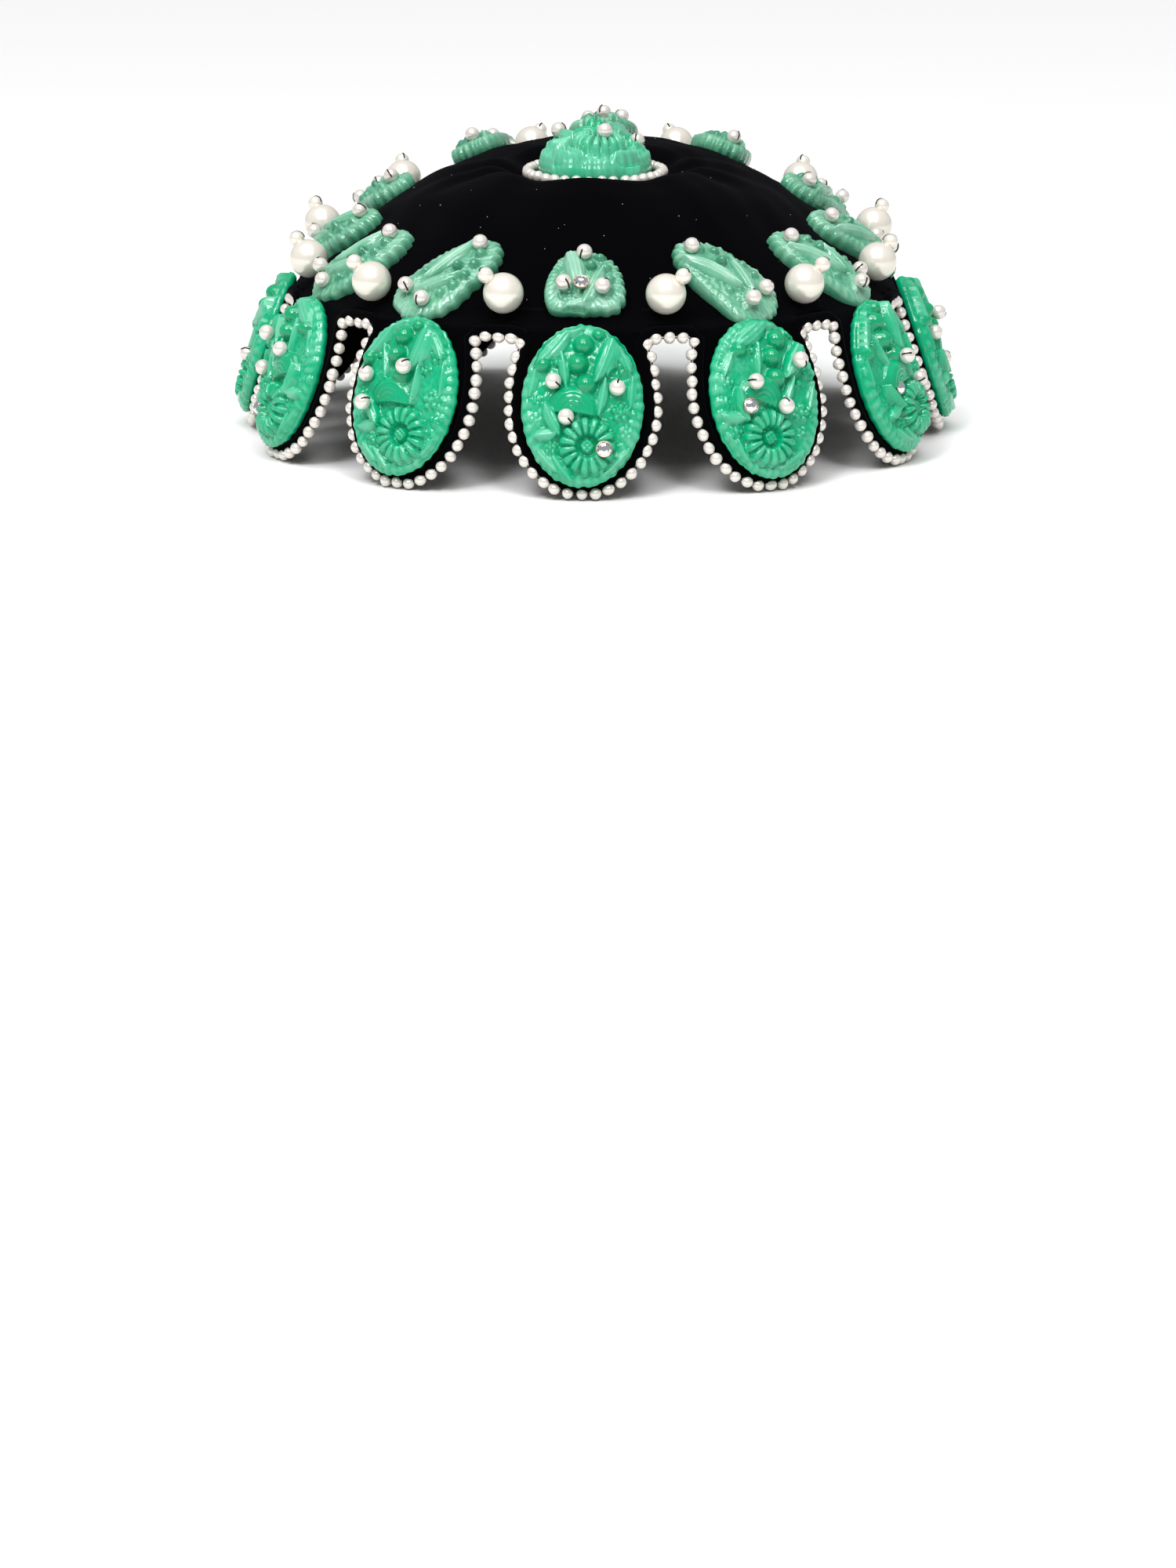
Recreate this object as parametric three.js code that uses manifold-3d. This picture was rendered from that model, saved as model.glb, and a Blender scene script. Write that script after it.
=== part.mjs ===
// An evening cap: a stiffened velvet crown whose rim is cut into twelve oval tabs, with a moulded
// glass plaque on each tab, a ring of glass leaves and large pearls above them, a plaque in a
// dimple on top, and strings of small pearls along the rim and round the top plaque.
// Millimetres, +Z up, the front towards -Y. The cap stands on the ends of its tabs at z = 0.
import * as THREE from "three";
import { mergeVertices } from "three/addons/utils/BufferGeometryUtils.js";
import Module from "manifold-3d";

// Rim and tabs
const TAB_COUNT = 12;
const TAB_RADIUS = 86.4; // the tabs' outer face, from the axis, at the middle of a plaque
const TAB_LEAN = 20; // degrees that a tab flares out from the vertical
const WALL = 2; // velvet over stiffened net
const NECK_WIDTH = 30; // between the two lines of pearls where a tab joins the crown
const NOTCH_TOP = 17.2; // the pearls' line across a notch, up the slope from a plaque's middle
const NOTCH_CORNER = 2.2;

// Crown
const CROWN_START = 18.6; // the crown leaves the tabs' slope here, above a plaque's middle
const CROWN_RISE = 31.5; // from there to the ridge round the dimple
const DIMPLE_DEPTH = 4;
const BACK_FULLNESS = 27; // how much higher the crown swells at the back than at the front
const SIDE_SLACK = 1.0; // how much lower its shoulder lies at the sides
const FOLD_DEPTH = 2.2; // of the deepest crease that runs in to the dimple

// Ornaments
const PLAQUE_WIDTH = 30;
const PLAQUE_LENGTH = 40;
const PLAQUE_BASE = 2.4; // thickness at the rim, under the relief
const PLAQUE_RELIEF = 6.5; // height that the relief's shares are taken of
const TOP_PLAQUE_STRETCH = 1.95; // the top plaque is a higher dome
const LEAF_WIDTH = 15;
const LEAF_LENGTH = 27;
const LEAF_BASE = 2;
const LEAF_RELIEF = 3;
const LEAF_SLANT = 38; // degrees that a leaf's tip turns towards the front
const FAN_WIDTH = 19.5;
const FAN_HEIGHT = 19;
const LARGE_PEARL = 10; // diameters
const STOP_PEARL = 4;
const EDGE_PEARL = 3;
const EDGE_MARGIN = 3; // from a plaque's side to the line of small pearls
const END_MARGIN = 1.2; // the same below its lower end
const LEAF_INSET = 13.04; // from the crown's lower edge in towards the axis
const PEARL_INSET = 6.54;
const STOP_TURN = 35; // degrees that a stop pearl sits to the side of its large pearl's top
const GAP = 0.3; // between pieces that are sewn together
const LEAF_GAP = 0.95; // under the middle of a flat-backed leaf on the crown's curve
const PEARL_GAP = 0.7; // under a large pearl
const STAND_FLAT = 0.2; // how far the lowest pearls are cut level

// Mesh fineness
const ROUND_STEPS = 48;
const TUBE_SIDES = 8;
const BEAD_SIDES = 10;

const lean = THREE.MathUtils.degToRad(TAB_LEAN);
const pitch = (2 * Math.PI) / TAB_COUNT;
const edgeWidth = PLAQUE_WIDTH / 2 + EDGE_MARGIN; // half-axes of the pearls' oval round a plaque
const edgeLength = PLAQUE_LENGTH / 2 + END_MARGIN;
const edgeInset = EDGE_PEARL / 2 + GAP; // from the pearls' line in to the cloth's edge
const plaqueHeight =
  edgeLength * Math.cos(lean) + EDGE_PEARL / 2 + (WALL / 2) * Math.sin(lean) - STAND_FLAT;
const crownRadius = TAB_RADIUS - CROWN_START * Math.sin(lean);
const crownBase = plaqueHeight + CROWN_START * Math.cos(lean);
const dimpleFloor = crownBase + CROWN_RISE - DIMPLE_DEPTH;
const dimpleWidth = edgeWidth + EDGE_PEARL / 2 + 1; // half-axes of the dimple's flat floor
const dimpleLength = PLAQUE_LENGTH / 2 + EDGE_MARGIN + EDGE_PEARL / 2 + 1;

// The crown's slope from the tabs to the ridge: shares of its radius and of its rise, and how much
// of the back's fullness each place takes.
const CROWN_PROFILE = [
  { out: 1.0, up: 0.0, full: 0.0 },
  { out: 0.975, up: 0.025, full: 0.45 },
  { out: 0.94, up: 0.07, full: 0.8 },
  { out: 0.88, up: 0.18, full: 0.9 },
  { out: 0.79, up: 0.36, full: 0.78 },
  { out: 0.69, up: 0.56, full: 0.58 },
  { out: 0.59, up: 0.745, full: 0.38 },
  { out: 0.5, up: 0.9, full: 0.2 },
  { out: 0.41, up: 1.0, full: 0.05 },
];

// Creases of the crown round the dimple: where each runs, how wide it is, and its share of FOLD_DEPTH.
const FOLDS = [
  { azimuth: -98, spread: 9, depth: 1.0 },
  { azimuth: -72, spread: 8, depth: 0.75 },
  { azimuth: -128, spread: 11, depth: 0.6 },
  { azimuth: -28, spread: 9, depth: 0.3 },
  { azimuth: 22, spread: 10, depth: 0.3 },
  { azimuth: 74, spread: 9, depth: 0.7 },
  { azimuth: 100, spread: 10, depth: 0.9 },
  { azimuth: 131, spread: 9, depth: 0.7 },
  { azimuth: 176, spread: 12, depth: 0.5 },
];

const wasm = await Module();
wasm.setup();

// A closed geometry as a solid, and back.
function solidOf(geometry) {
  const bare = new THREE.BufferGeometry();
  const flat = geometry.index ? geometry.toNonIndexed() : geometry;
  bare.setAttribute("position", flat.getAttribute("position"));
  const merged = mergeVertices(bare, 1e-4);
  const mesh = new wasm.Mesh({
    numProp: 3,
    vertProperties: merged.attributes.position.array,
    triVerts: new Uint32Array(merged.index.array),
  });
  return new wasm.Manifold(mesh);
}

function geometryOf(solid) {
  const mesh = solid.getMesh();
  const geometry = new THREE.BufferGeometry();
  geometry.setAttribute("position", new THREE.BufferAttribute(new Float32Array(mesh.vertProperties), 3));
  geometry.setIndex(new THREE.BufferAttribute(new Uint32Array(mesh.triVerts), 1));
  geometry.computeVertexNormals();
  return geometry;
}

const smooth = (from, to, x) => THREE.MathUtils.smoothstep(x, from, to);
const wrapped = (angle) => Math.atan2(Math.sin(angle), Math.cos(angle));

// The direction out from the axis at an azimuth: 0 is the front, positive turns towards +X.
const outward = (azimuth) => new THREE.Vector3(Math.sin(azimuth), -Math.cos(azimuth), 0);

// A place on tab number i: u across it, v up its slope from the plaque's middle, lift off its face.
function onTab(i, u, v, lift) {
  const azimuth = i * pitch;
  const out = outward(azimuth);
  const across = new THREE.Vector3(Math.cos(azimuth), Math.sin(azimuth), 0);
  const radius = TAB_RADIUS - v * Math.sin(lean) + lift * Math.cos(lean);
  const height = plaqueHeight + v * Math.cos(lean) + lift * Math.sin(lean);
  return out.multiplyScalar(radius).addScaledVector(across, u).setZ(height);
}

// How much higher the crown's shoulder is than at the front.
function fullness(azimuth) {
  return BACK_FULLNESS * ((1 - Math.cos(azimuth)) / 2) ** 3 - SIDE_SLACK * Math.sin(azimuth) ** 2;
}

// The creases' depth at a place on the crown.
function foldDepth(azimuth, radius) {
  const ridge = CROWN_PROFILE.at(-1).out * crownRadius;
  const along = smooth(dimpleWidth, ridge, radius) * (1 - smooth(ridge, ridge * 1.6, radius));
  let depth = 0;
  for (const fold of FOLDS) {
    const away = wrapped(azimuth - THREE.MathUtils.degToRad(fold.azimuth));
    depth += fold.depth * Math.exp(-((away / THREE.MathUtils.degToRad(fold.spread)) ** 2));
  }
  return FOLD_DEPTH * depth * along;
}

// Moves a place of the round form to where it is on the cap: flat tabs, a swollen crown, an oval
// dimple and its creases.
function capPlace(azimuth, radius, height, full) {
  const off = wrapped(azimuth - Math.round(azimuth / pitch) * pitch);
  const flat = 1 - smooth(crownBase - 3, crownBase + 6, height);
  const oval = 1 / Math.hypot(Math.sin(azimuth) / dimpleWidth, Math.cos(azimuth) / dimpleLength);
  const inner = 1 - smooth(dimpleLength, crownRadius * 0.6, radius);
  const panel = 1 + flat * (1 / Math.cos(off) - 1);
  const squeeze = 1 + inner * (oval / dimpleLength - 1);
  const up = height + fullness(azimuth) * full - foldDepth(azimuth, radius);
  return outward(azimuth).multiplyScalar(radius * panel * squeeze).setZ(up);
}

// The outer face from the axis down to below the tabs' ends.
function outerProfile() {
  const rows = [
    { radius: 0, height: dimpleFloor, full: 0 },
    { radius: dimpleLength, height: dimpleFloor, full: 0 },
    { radius: dimpleLength + 2.5, height: dimpleFloor + DIMPLE_DEPTH * 0.55, full: 0 },
  ];
  for (const row of [...CROWN_PROFILE].reverse())
    rows.push({ radius: row.out * crownRadius, height: crownBase + row.up * CROWN_RISE, full: row.full });
  const below = edgeLength + WALL;
  for (const v of [0, -below])
    rows.push({
      radius: TAB_RADIUS - v * Math.sin(lean),
      height: plaqueHeight + v * Math.cos(lean),
      full: 0,
    });
  return rows;
}

// A place on one of the outer face's rows, moved in square to the face by depth.
function wallPlace(outer, i, azimuth, depth) {
  const at = (row, turn) => capPlace(turn, row.radius, row.height, row.full);
  const place = at(outer[i], azimuth);
  if (outer[i].radius === 0) return place.setZ(place.z - depth);
  const step = pitch / 16;
  const along = at(outer[i - 1], azimuth).sub(at(outer[Math.min(i + 1, outer.length - 1)], azimuth));
  const around = at(outer[i], azimuth + step).sub(at(outer[i], azimuth - step));
  return place.addScaledVector(around.cross(along).normalize(), -depth);
}

// Crown and tabs in one wall, before the notches are cut.
function capWall() {
  const outer = outerProfile();
  const inside = outer.map((row, i) => ({ i, depth: WALL }));
  const outside = outer.map((row, i) => ({ i, depth: 0 }));
  const loop = [...inside, ...outside.reverse()];
  const profile = loop.map(({ i }) => new THREE.Vector2(outer[i].radius, outer[i].height));
  const geometry = new THREE.LatheGeometry(profile, ROUND_STEPS);
  const position = geometry.getAttribute("position");
  for (let step = 0; step <= ROUND_STEPS; step++)
    loop.forEach(({ i, depth }, k) => {
      const azimuth = ((step % ROUND_STEPS) / ROUND_STEPS) * 2 * Math.PI;
      const place = wallPlace(outer, i, azimuth, depth);
      position.setXYZ(step * loop.length + k, place.x, place.y, place.z);
    });
  return solidOf(geometry);
}

// Half the width of a tab's line of pearls at v: an oval below, drawn in to the neck above.
function edgeHalfWidth(v) {
  if (v < 0) return edgeWidth * Math.sqrt(Math.max(0, 1 - (v / edgeLength) ** 2));
  return edgeWidth - (edgeWidth - NECK_WIDTH / 2) * (v / NOTCH_TOP) ** 2;
}

// One side of a tab's line of pearls from its lowest place up to the notch's corner, as u and v.
function edgeSide() {
  const side = [0, 22, 44, 66, 90].map((degrees) => {
    const turn = THREE.MathUtils.degToRad(degrees);
    return new THREE.Vector2(edgeWidth * Math.sin(turn), -edgeLength * Math.cos(turn));
  });
  for (const v of [NOTCH_TOP * 0.5, NOTCH_TOP - NOTCH_CORNER])
    side.push(new THREE.Vector2(edgeHalfWidth(v), v));
  const corner = NOTCH_CORNER * (1 - Math.SQRT1_2);
  side.push(new THREE.Vector2(NECK_WIDTH / 2 + corner, NOTCH_TOP - corner));
  side.push(new THREE.Vector2(NECK_WIDTH / 2 + NOTCH_CORNER, NOTCH_TOP));
  return side;
}

// The same line moved in to the cloth's edge.
function clothSide() {
  const side = edgeSide();
  return side.map((place, i) => {
    const before = i === 0 ? new THREE.Vector2(-side[1].x, side[1].y) : side[i - 1];
    const after = side[i + 1] ?? new THREE.Vector2(place.x + 1, place.y);
    const run = after.clone().sub(before).normalize();
    return new THREE.Vector2(place.x - run.y * edgeInset, place.y + run.x * edgeInset);
  });
}

// What is cut away between tab number i and the next one.
function notchCutter(i) {
  const azimuth = (i + 0.5) * pitch;
  const across = new THREE.Vector3(Math.cos(azimuth), Math.sin(azimuth), 0);
  const flat = (place) => new THREE.Vector2(place.dot(across), place.z);
  const side = clothSide();
  const right = side.map((p) => flat(onTab(i, p.x, p.y, -WALL / 2)));
  const left = side.map((p) => flat(onTab(i + 1, -p.x, p.y, -WALL / 2)));
  const reach = 1.5; // past the middle of each tab, so that two cutters meet below its end
  const floor = -WALL * 4;
  const outline = [
    new THREE.Vector2(right[0].x - reach, floor),
    new THREE.Vector2(right[0].x - reach, right[0].y - 0.02),
    ...right,
    ...left.reverse(),
    new THREE.Vector2(-right[0].x + reach, right[0].y - 0.02),
    new THREE.Vector2(-right[0].x + reach, floor),
  ];
  const depth = TAB_RADIUS * 0.5;
  const cutter = new THREE.ExtrudeGeometry(new THREE.Shape(outline), {
    depth,
    bevelEnabled: false,
    curveSegments: 1,
  });
  const out = outward(azimuth);
  const toGap = new THREE.Matrix4().makeBasis(across, new THREE.Vector3(0, 0, 1), out);
  toGap.setPosition(out.clone().multiplyScalar(TAB_RADIUS * 0.8));
  return solidOf(cutter.applyMatrix4(toGap));
}

function capGeometry() {
  let cap = capWall();
  for (let i = 0; i < TAB_COUNT; i++) cap = cap.subtract(notchCutter(i));
  return geometryOf(cap);
}

// A curve that an extrusion follows with one step for each of its points.
class PathThroughPoints extends THREE.CatmullRomCurve3 {
  getPointAt(share, target) {
    return this.getPoint(share, target);
  }
  getTangentAt(share, target) {
    return this.getTangent(share, target);
  }
  getSpacedPoints(steps) {
    return this.getPoints(steps);
  }
}

function roundSection(radius, sides) {
  const corners = [];
  for (let i = 0; i < sides; i++) {
    const turn = (i / sides) * 2 * Math.PI;
    corners.push(new THREE.Vector2(radius * Math.cos(turn), radius * Math.sin(turn)));
  }
  return new THREE.Shape(corners);
}

function tubeAlong(points) {
  return new THREE.ExtrudeGeometry(roundSection(EDGE_PEARL / 2, TUBE_SIDES), {
    steps: points.length - 1,
    extrudePath: new PathThroughPoints(points, false, "centripetal"),
    bevelEnabled: false,
    curveSegments: 1,
  });
}

// The string of small pearls along the rim, from the lowest place of tab first to that of tab last.
// It ends just short of both places, so that two strings meet with a gap between them.
function rimString(first, last) {
  const tip = (i, u) => onTab(i, u, -edgeLength, -WALL / 2);
  const side = edgeSide().slice(1);
  const points = [tip(first, GAP / 2), tip(first, EDGE_PEARL / 2)];
  for (let i = first; i < last; i++) {
    if (i > first) points.push(tip(i, 0));
    points.push(...side.map((p) => onTab(i, p.x, p.y, -WALL / 2)));
    points.push(...side.map((p) => onTab(i + 1, -p.x, p.y, -WALL / 2)).reverse());
  }
  points.push(tip(last, -EDGE_PEARL / 2), tip(last, -GAP / 2));
  return points;
}

// Cuts the string level where the cap stands on it.
const levelled = (geometry) => geometryOf(solidOf(geometry).trimByPlane([0, 0, 1], 0));

// The string round the top plaque, as a closed ring.
function topString() {
  const section = roundSection(EDGE_PEARL / 2, TUBE_SIDES).getPoints();
  const ringLength = PLAQUE_LENGTH / 2 + EDGE_MARGIN;
  const ring = section.map((p) => new THREE.Vector2(edgeWidth + p.x, p.y));
  ring.push(ring[0].clone());
  const geometry = new THREE.LatheGeometry(ring, 28);
  geometry.rotateX(Math.PI / 2);
  const position = geometry.getAttribute("position");
  for (let i = 0; i < position.count; i++) {
    const place = new THREE.Vector3().fromBufferAttribute(position, i);
    const turn = Math.atan2(place.y, place.x);
    const off = Math.hypot(place.x, place.y) - edgeWidth;
    const path = new THREE.Vector2(edgeWidth * Math.cos(turn), ringLength * Math.sin(turn));
    const out = new THREE.Vector2(Math.cos(turn) / edgeWidth, Math.sin(turn) / ringLength).normalize();
    path.addScaledVector(out, off);
    position.setXYZ(i, path.x, path.y, place.z);
  }
  return geometry.translate(0, 0, dimpleFloor + GAP + EDGE_PEARL / 2);
}

// The rosette, berries and leaves of a plaque's relief: where each stands in shares of the plaque's
// half width and half length, its size and its height in shares of the half width and the relief.
const PLAQUE_RELIEFS = [
  { u: 0.1, v: -0.5, size: 0.52, height: 0.55, petals: 12 },
  { u: -0.1, v: 0.5, size: 0.24, height: 0.6, petals: 0 },
  { u: 0.02, v: 0.8, size: 0.2, height: 0.45, petals: 0 },
  { u: 0.05, v: 0.24, size: 0.26, height: 0.5, petals: 0 },
  { u: -0.66, v: 0.48, size: 0.22, height: 0.5, petals: 0 },
  { u: 0.62, v: 0.42, size: 0.3, height: 0.4, petals: 5 },
  { u: -0.45, v: -0.05, size: 0.36, height: 0.4, petals: 0 },
];

// Height of the relief at a place in shares of the half width and half length.
function plaqueRelief(u, v) {
  const edge = Math.min(1, Math.hypot(u, v));
  let height = 0.45 * Math.sqrt(1 - edge ** 2);
  for (const form of PLAQUE_RELIEFS) {
    const across = u - form.u;
    const along = ((v - form.v) * PLAQUE_LENGTH) / PLAQUE_WIDTH;
    const away = Math.hypot(across, along) / form.size;
    const ribs = form.petals ? 0.75 + 0.25 * Math.cos(form.petals * Math.atan2(along, across)) : 1;
    height = Math.max(height, form.height * ribs * Math.sqrt(Math.max(0, 1 - away ** 2)) + 0.3 * (1 - edge));
  }
  return height;
}

// A flat-backed stone: rings of places from its middle to its outline, with a wall round it.
function stoneGeometry(outline, rings, base, relief, reliefAt) {
  const count = outline.length;
  const places = [new THREE.Vector3(0, 0, base + relief * reliefAt(0, 0))];
  for (let ring = 1; ring <= rings; ring++)
    for (const corner of outline) {
      const share = Math.sin((ring / rings) * (Math.PI / 2)) * 0.35 + (ring / rings) * 0.65;
      const spot = corner.clone().multiplyScalar(share);
      const lift = ring === rings ? 0 : relief * reliefAt(spot.x, spot.y);
      places.push(new THREE.Vector3(spot.x, spot.y, base + lift));
    }
  for (const corner of outline) places.push(new THREE.Vector3(corner.x * 0.97, corner.y * 0.97, 0));
  places.push(new THREE.Vector3(0, 0, 0));
  const faces = [];
  const at = (ring, i) => 1 + (ring - 1) * count + (i % count);
  for (let i = 0; i < count; i++) {
    faces.push(0, at(1, i), at(1, i + 1));
    for (let ring = 1; ring <= rings; ring++) {
      faces.push(at(ring, i), at(ring + 1, i), at(ring + 1, i + 1));
      faces.push(at(ring, i), at(ring + 1, i + 1), at(ring, i + 1));
    }
    faces.push(places.length - 1, at(rings + 1, i + 1), at(rings + 1, i));
  }
  const geometry = new THREE.BufferGeometry().setFromPoints(places);
  geometry.setIndex(faces);
  geometry.computeVertexNormals();
  return geometry;
}

// A round outline of unit half-axes with small scallops.
function scallopedOval(steps) {
  const outline = [];
  for (let i = 0; i < steps; i++) {
    const turn = (i / steps) * 2 * Math.PI;
    const radius = 1 - (i % 2) * 0.02;
    outline.push(new THREE.Vector2(radius * Math.cos(turn), radius * Math.sin(turn)));
  }
  return outline;
}

function plaqueGeometry() {
  const plaque = stoneGeometry(scallopedOval(20), 3, PLAQUE_BASE, PLAQUE_RELIEF, plaqueRelief);
  return plaque.scale(PLAQUE_WIDTH / 2, PLAQUE_LENGTH / 2, 1);
}

// The leaf's outline in shares of its half width and half length, foot to tip and back.
const LEAF_OUTLINE = [
  [-0.2, -1.0],
  [0.55, -0.92],
  [0.95, -0.6],
  [1.0, -0.25],
  [0.85, 0.1],
  [0.8, 0.5],
  [0.45, 0.85],
  [0.0, 1.0],
  [-0.4, 0.88],
  [-0.75, 0.5],
  [-0.9, 0.1],
  [-0.95, -0.3],
  [-1.0, -0.7],
  [-0.75, -0.95],
];

// The fan's outline in shares of its half width and half height.
const FAN_OUTLINE = [
  [-0.85, -0.95],
  [-0.3, -1.0],
  [0.3, -1.0],
  [0.85, -0.9],
  [1.0, -0.6],
  [0.95, -0.1],
  [0.85, 0.35],
  [0.6, 0.75],
  [0.2, 0.95],
  [-0.25, 0.97],
  [-0.65, 0.82],
  [-0.85, 0.4],
  [-1.0, -0.1],
  [-1.0, -0.6],
];

const corners = (table) => table.map(([x, y]) => new THREE.Vector2(x, y));

// A swell with a rib along the middle.
const leafRelief = (u, v) => Math.max(0, 1 - u * u - v * v) ** 0.5 * (0.75 + 0.25 * Math.cos(9 * v + 3 * u));

function leafGeometry() {
  const leaf = stoneGeometry(corners(LEAF_OUTLINE), 3, LEAF_BASE, LEAF_RELIEF, leafRelief);
  return leaf.scale(LEAF_WIDTH / 2, LEAF_LENGTH / 2, 1);
}

function fanGeometry() {
  const fan = stoneGeometry(corners(FAN_OUTLINE), 3, LEAF_BASE, LEAF_RELIEF, leafRelief);
  return fan.scale(FAN_WIDTH / 2, FAN_HEIGHT / 2, 1);
}

// A large pearl with the small one that stops its thread, on the plane z = 0.
function pearlGeometry(side) {
  const large = new THREE.SphereGeometry(LARGE_PEARL / 2, BEAD_SIDES, 6).rotateX(Math.PI / 2);
  const small = new THREE.SphereGeometry(STOP_PEARL / 2, BEAD_SIDES, 4).rotateX(Math.PI / 2);
  const reach = (LARGE_PEARL + STOP_PEARL) / 2 - 2 * GAP;
  small.translate(0, 0, reach).rotateY(side * THREE.MathUtils.degToRad(STOP_TURN));
  const joined = solidOf(large).add(solidOf(small));
  return geometryOf(joined).translate(0, 0, LARGE_PEARL / 2);
}

// The crown's outer face at an azimuth and a distance from the axis.
function onCrown(azimuth, radius) {
  const rows = outerProfile();
  const i = rows.findIndex((row) => row.radius > radius);
  const [from, to] = [rows[i - 1], rows[i]];
  const share = (radius - from.radius) / (to.radius - from.radius);
  const mix = (name) => from[name] + (to[name] - from[name]) * share;
  return capPlace(azimuth, radius, mix("height"), mix("full"));
}

// A frame that stands on the crown: x across, y up the slope, z off the face.
function crownFrame(azimuth, radius, lift) {
  const step = 3;
  const turn = step / radius;
  const slope = onCrown(azimuth, radius - step).sub(onCrown(azimuth, radius + step));
  const across = onCrown(azimuth + turn, radius).sub(onCrown(azimuth - turn, radius)).normalize();
  const off = new THREE.Vector3().crossVectors(across, slope).normalize();
  const up = new THREE.Vector3().crossVectors(off, across);
  const frame = new THREE.Matrix4().makeBasis(across, up, off);
  return frame.setPosition(onCrown(azimuth, radius).addScaledVector(off, lift));
}

// A frame that stands on a tab at its plaque's middle.
function tabFrame(i, lift) {
  const azimuth = i * pitch;
  const across = new THREE.Vector3(Math.cos(azimuth), Math.sin(azimuth), 0);
  const up = onTab(i, 0, 1, 0).sub(onTab(i, 0, 0, 0));
  const off = new THREE.Vector3().crossVectors(across, up);
  return new THREE.Matrix4().makeBasis(across, up, off).setPosition(onTab(i, 0, 0, lift));
}

const velvet = new THREE.MeshStandardMaterial({ color: 0x0b0a0d, roughness: 1 });
const jadeGlass = new THREE.MeshStandardMaterial({ color: 0x35b586, roughness: 0.22 });
const paleJadeGlass = new THREE.MeshStandardMaterial({ color: 0x4fa486, roughness: 0.25 });
const pearl = new THREE.MeshStandardMaterial({ color: 0xe9e2d2, roughness: 0.25 });
const smallPearl = new THREE.MeshStandardMaterial({ color: 0xd9d2c6, roughness: 0.3 });

function piece(name, geometry, material, frame) {
  const mesh = new THREE.Mesh(geometry, material);
  mesh.name = name;
  if (frame) frame.decompose(mesh.position, mesh.quaternion, mesh.scale);
  return mesh;
}

function rim() {
  const group = new THREE.Group();
  const half = TAB_COUNT / 2;
  group.add(piece("rim_pearls_right", levelled(tubeAlong(rimString(0, half))), smallPearl));
  group.add(piece("rim_pearls_left", levelled(tubeAlong(rimString(half, TAB_COUNT))), smallPearl));
  return group;
}

function tabPlaques() {
  const group = new THREE.Group();
  for (let i = 0; i < TAB_COUNT; i++)
    group.add(piece(`tab_plaque_${i + 1}`, plaqueGeometry(), jadeGlass, tabFrame(i, GAP)));
  return group;
}

// Fans at the front and back, and leaves between them whose tips turn towards the front.
function crownLeaves() {
  const group = new THREE.Group();
  for (let i = 0; i < TAB_COUNT; i++) {
    const azimuth = wrapped(i * pitch);
    const isFan = i % (TAB_COUNT / 2) === 0;
    const side = Math.sign(azimuth);
    const frame = crownFrame(azimuth, crownRadius - LEAF_INSET, LEAF_GAP);
    if (!isFan) {
      const turn = side * THREE.MathUtils.degToRad(LEAF_SLANT);
      frame.multiply(new THREE.Matrix4().makeRotationZ(turn));
    }
    const geometry = isFan ? fanGeometry() : leafGeometry();
    group.add(piece(`crown_leaf_${i + 1}`, geometry, paleJadeGlass, frame));
  }
  return group;
}

function largePearls() {
  const group = new THREE.Group();
  for (let i = 0; i < TAB_COUNT; i++) {
    const azimuth = wrapped((i + 0.5) * pitch);
    const frame = crownFrame(azimuth, crownRadius - PEARL_INSET, PEARL_GAP);
    group.add(piece(`large_pearl_${i + 1}`, pearlGeometry(Math.sign(azimuth)), pearl, frame));
  }
  return group;
}

function topOrnament() {
  const group = new THREE.Group();
  const dome = plaqueGeometry().scale(1, 1, TOP_PLAQUE_STRETCH).translate(0, 0, dimpleFloor + GAP);
  group.add(piece("top_plaque", dome, jadeGlass));
  group.add(piece("top_pearls", topString(), smallPearl));
  return group;
}

const hat = new THREE.Group();
hat.add(piece("cap", capGeometry(), velvet));
hat.add(rim(), tabPlaques(), crownLeaves(), largePearls(), topOrnament());

export default hat;
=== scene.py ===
"""A velvet cap with moulded glass plaques and pearls, resting on the ends of its tabs on a pale floor.

Sizes are in millimetres until a mesh is made, and the frame is in metres. The cap's front is towards -Y.
A moulded piece has x across it, y up it and z off its flat back.
"""
import math
from collections import namedtuple

import bpy
import numpy as np
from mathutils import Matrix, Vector


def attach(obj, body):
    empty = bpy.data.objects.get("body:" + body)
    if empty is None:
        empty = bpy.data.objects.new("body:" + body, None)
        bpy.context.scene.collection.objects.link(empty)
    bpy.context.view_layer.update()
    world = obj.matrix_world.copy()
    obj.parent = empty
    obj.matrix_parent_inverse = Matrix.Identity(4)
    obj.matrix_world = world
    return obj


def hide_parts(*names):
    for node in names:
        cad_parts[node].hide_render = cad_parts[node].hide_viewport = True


MM = 0.001
SEED = 7
RANDOM_TURN = 6.28  # radians, nearly a whole turn

# Rim and tabs, the same values as the CAD's
TAB_COUNT = 12
TAB_RADIUS = 86.4  # the tabs' outer face, from the axis, at the middle of a plaque
TAB_LEAN = math.radians(20)  # how far a tab flares out from the vertical
WALL = 2.0
NECK_WIDTH = 30.0  # between the two lines of pearls where a tab joins the crown
NOTCH_TOP = 17.2  # the pearls' line across a notch, up the slope from a plaque's middle
NOTCH_CORNER = 2.2

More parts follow.
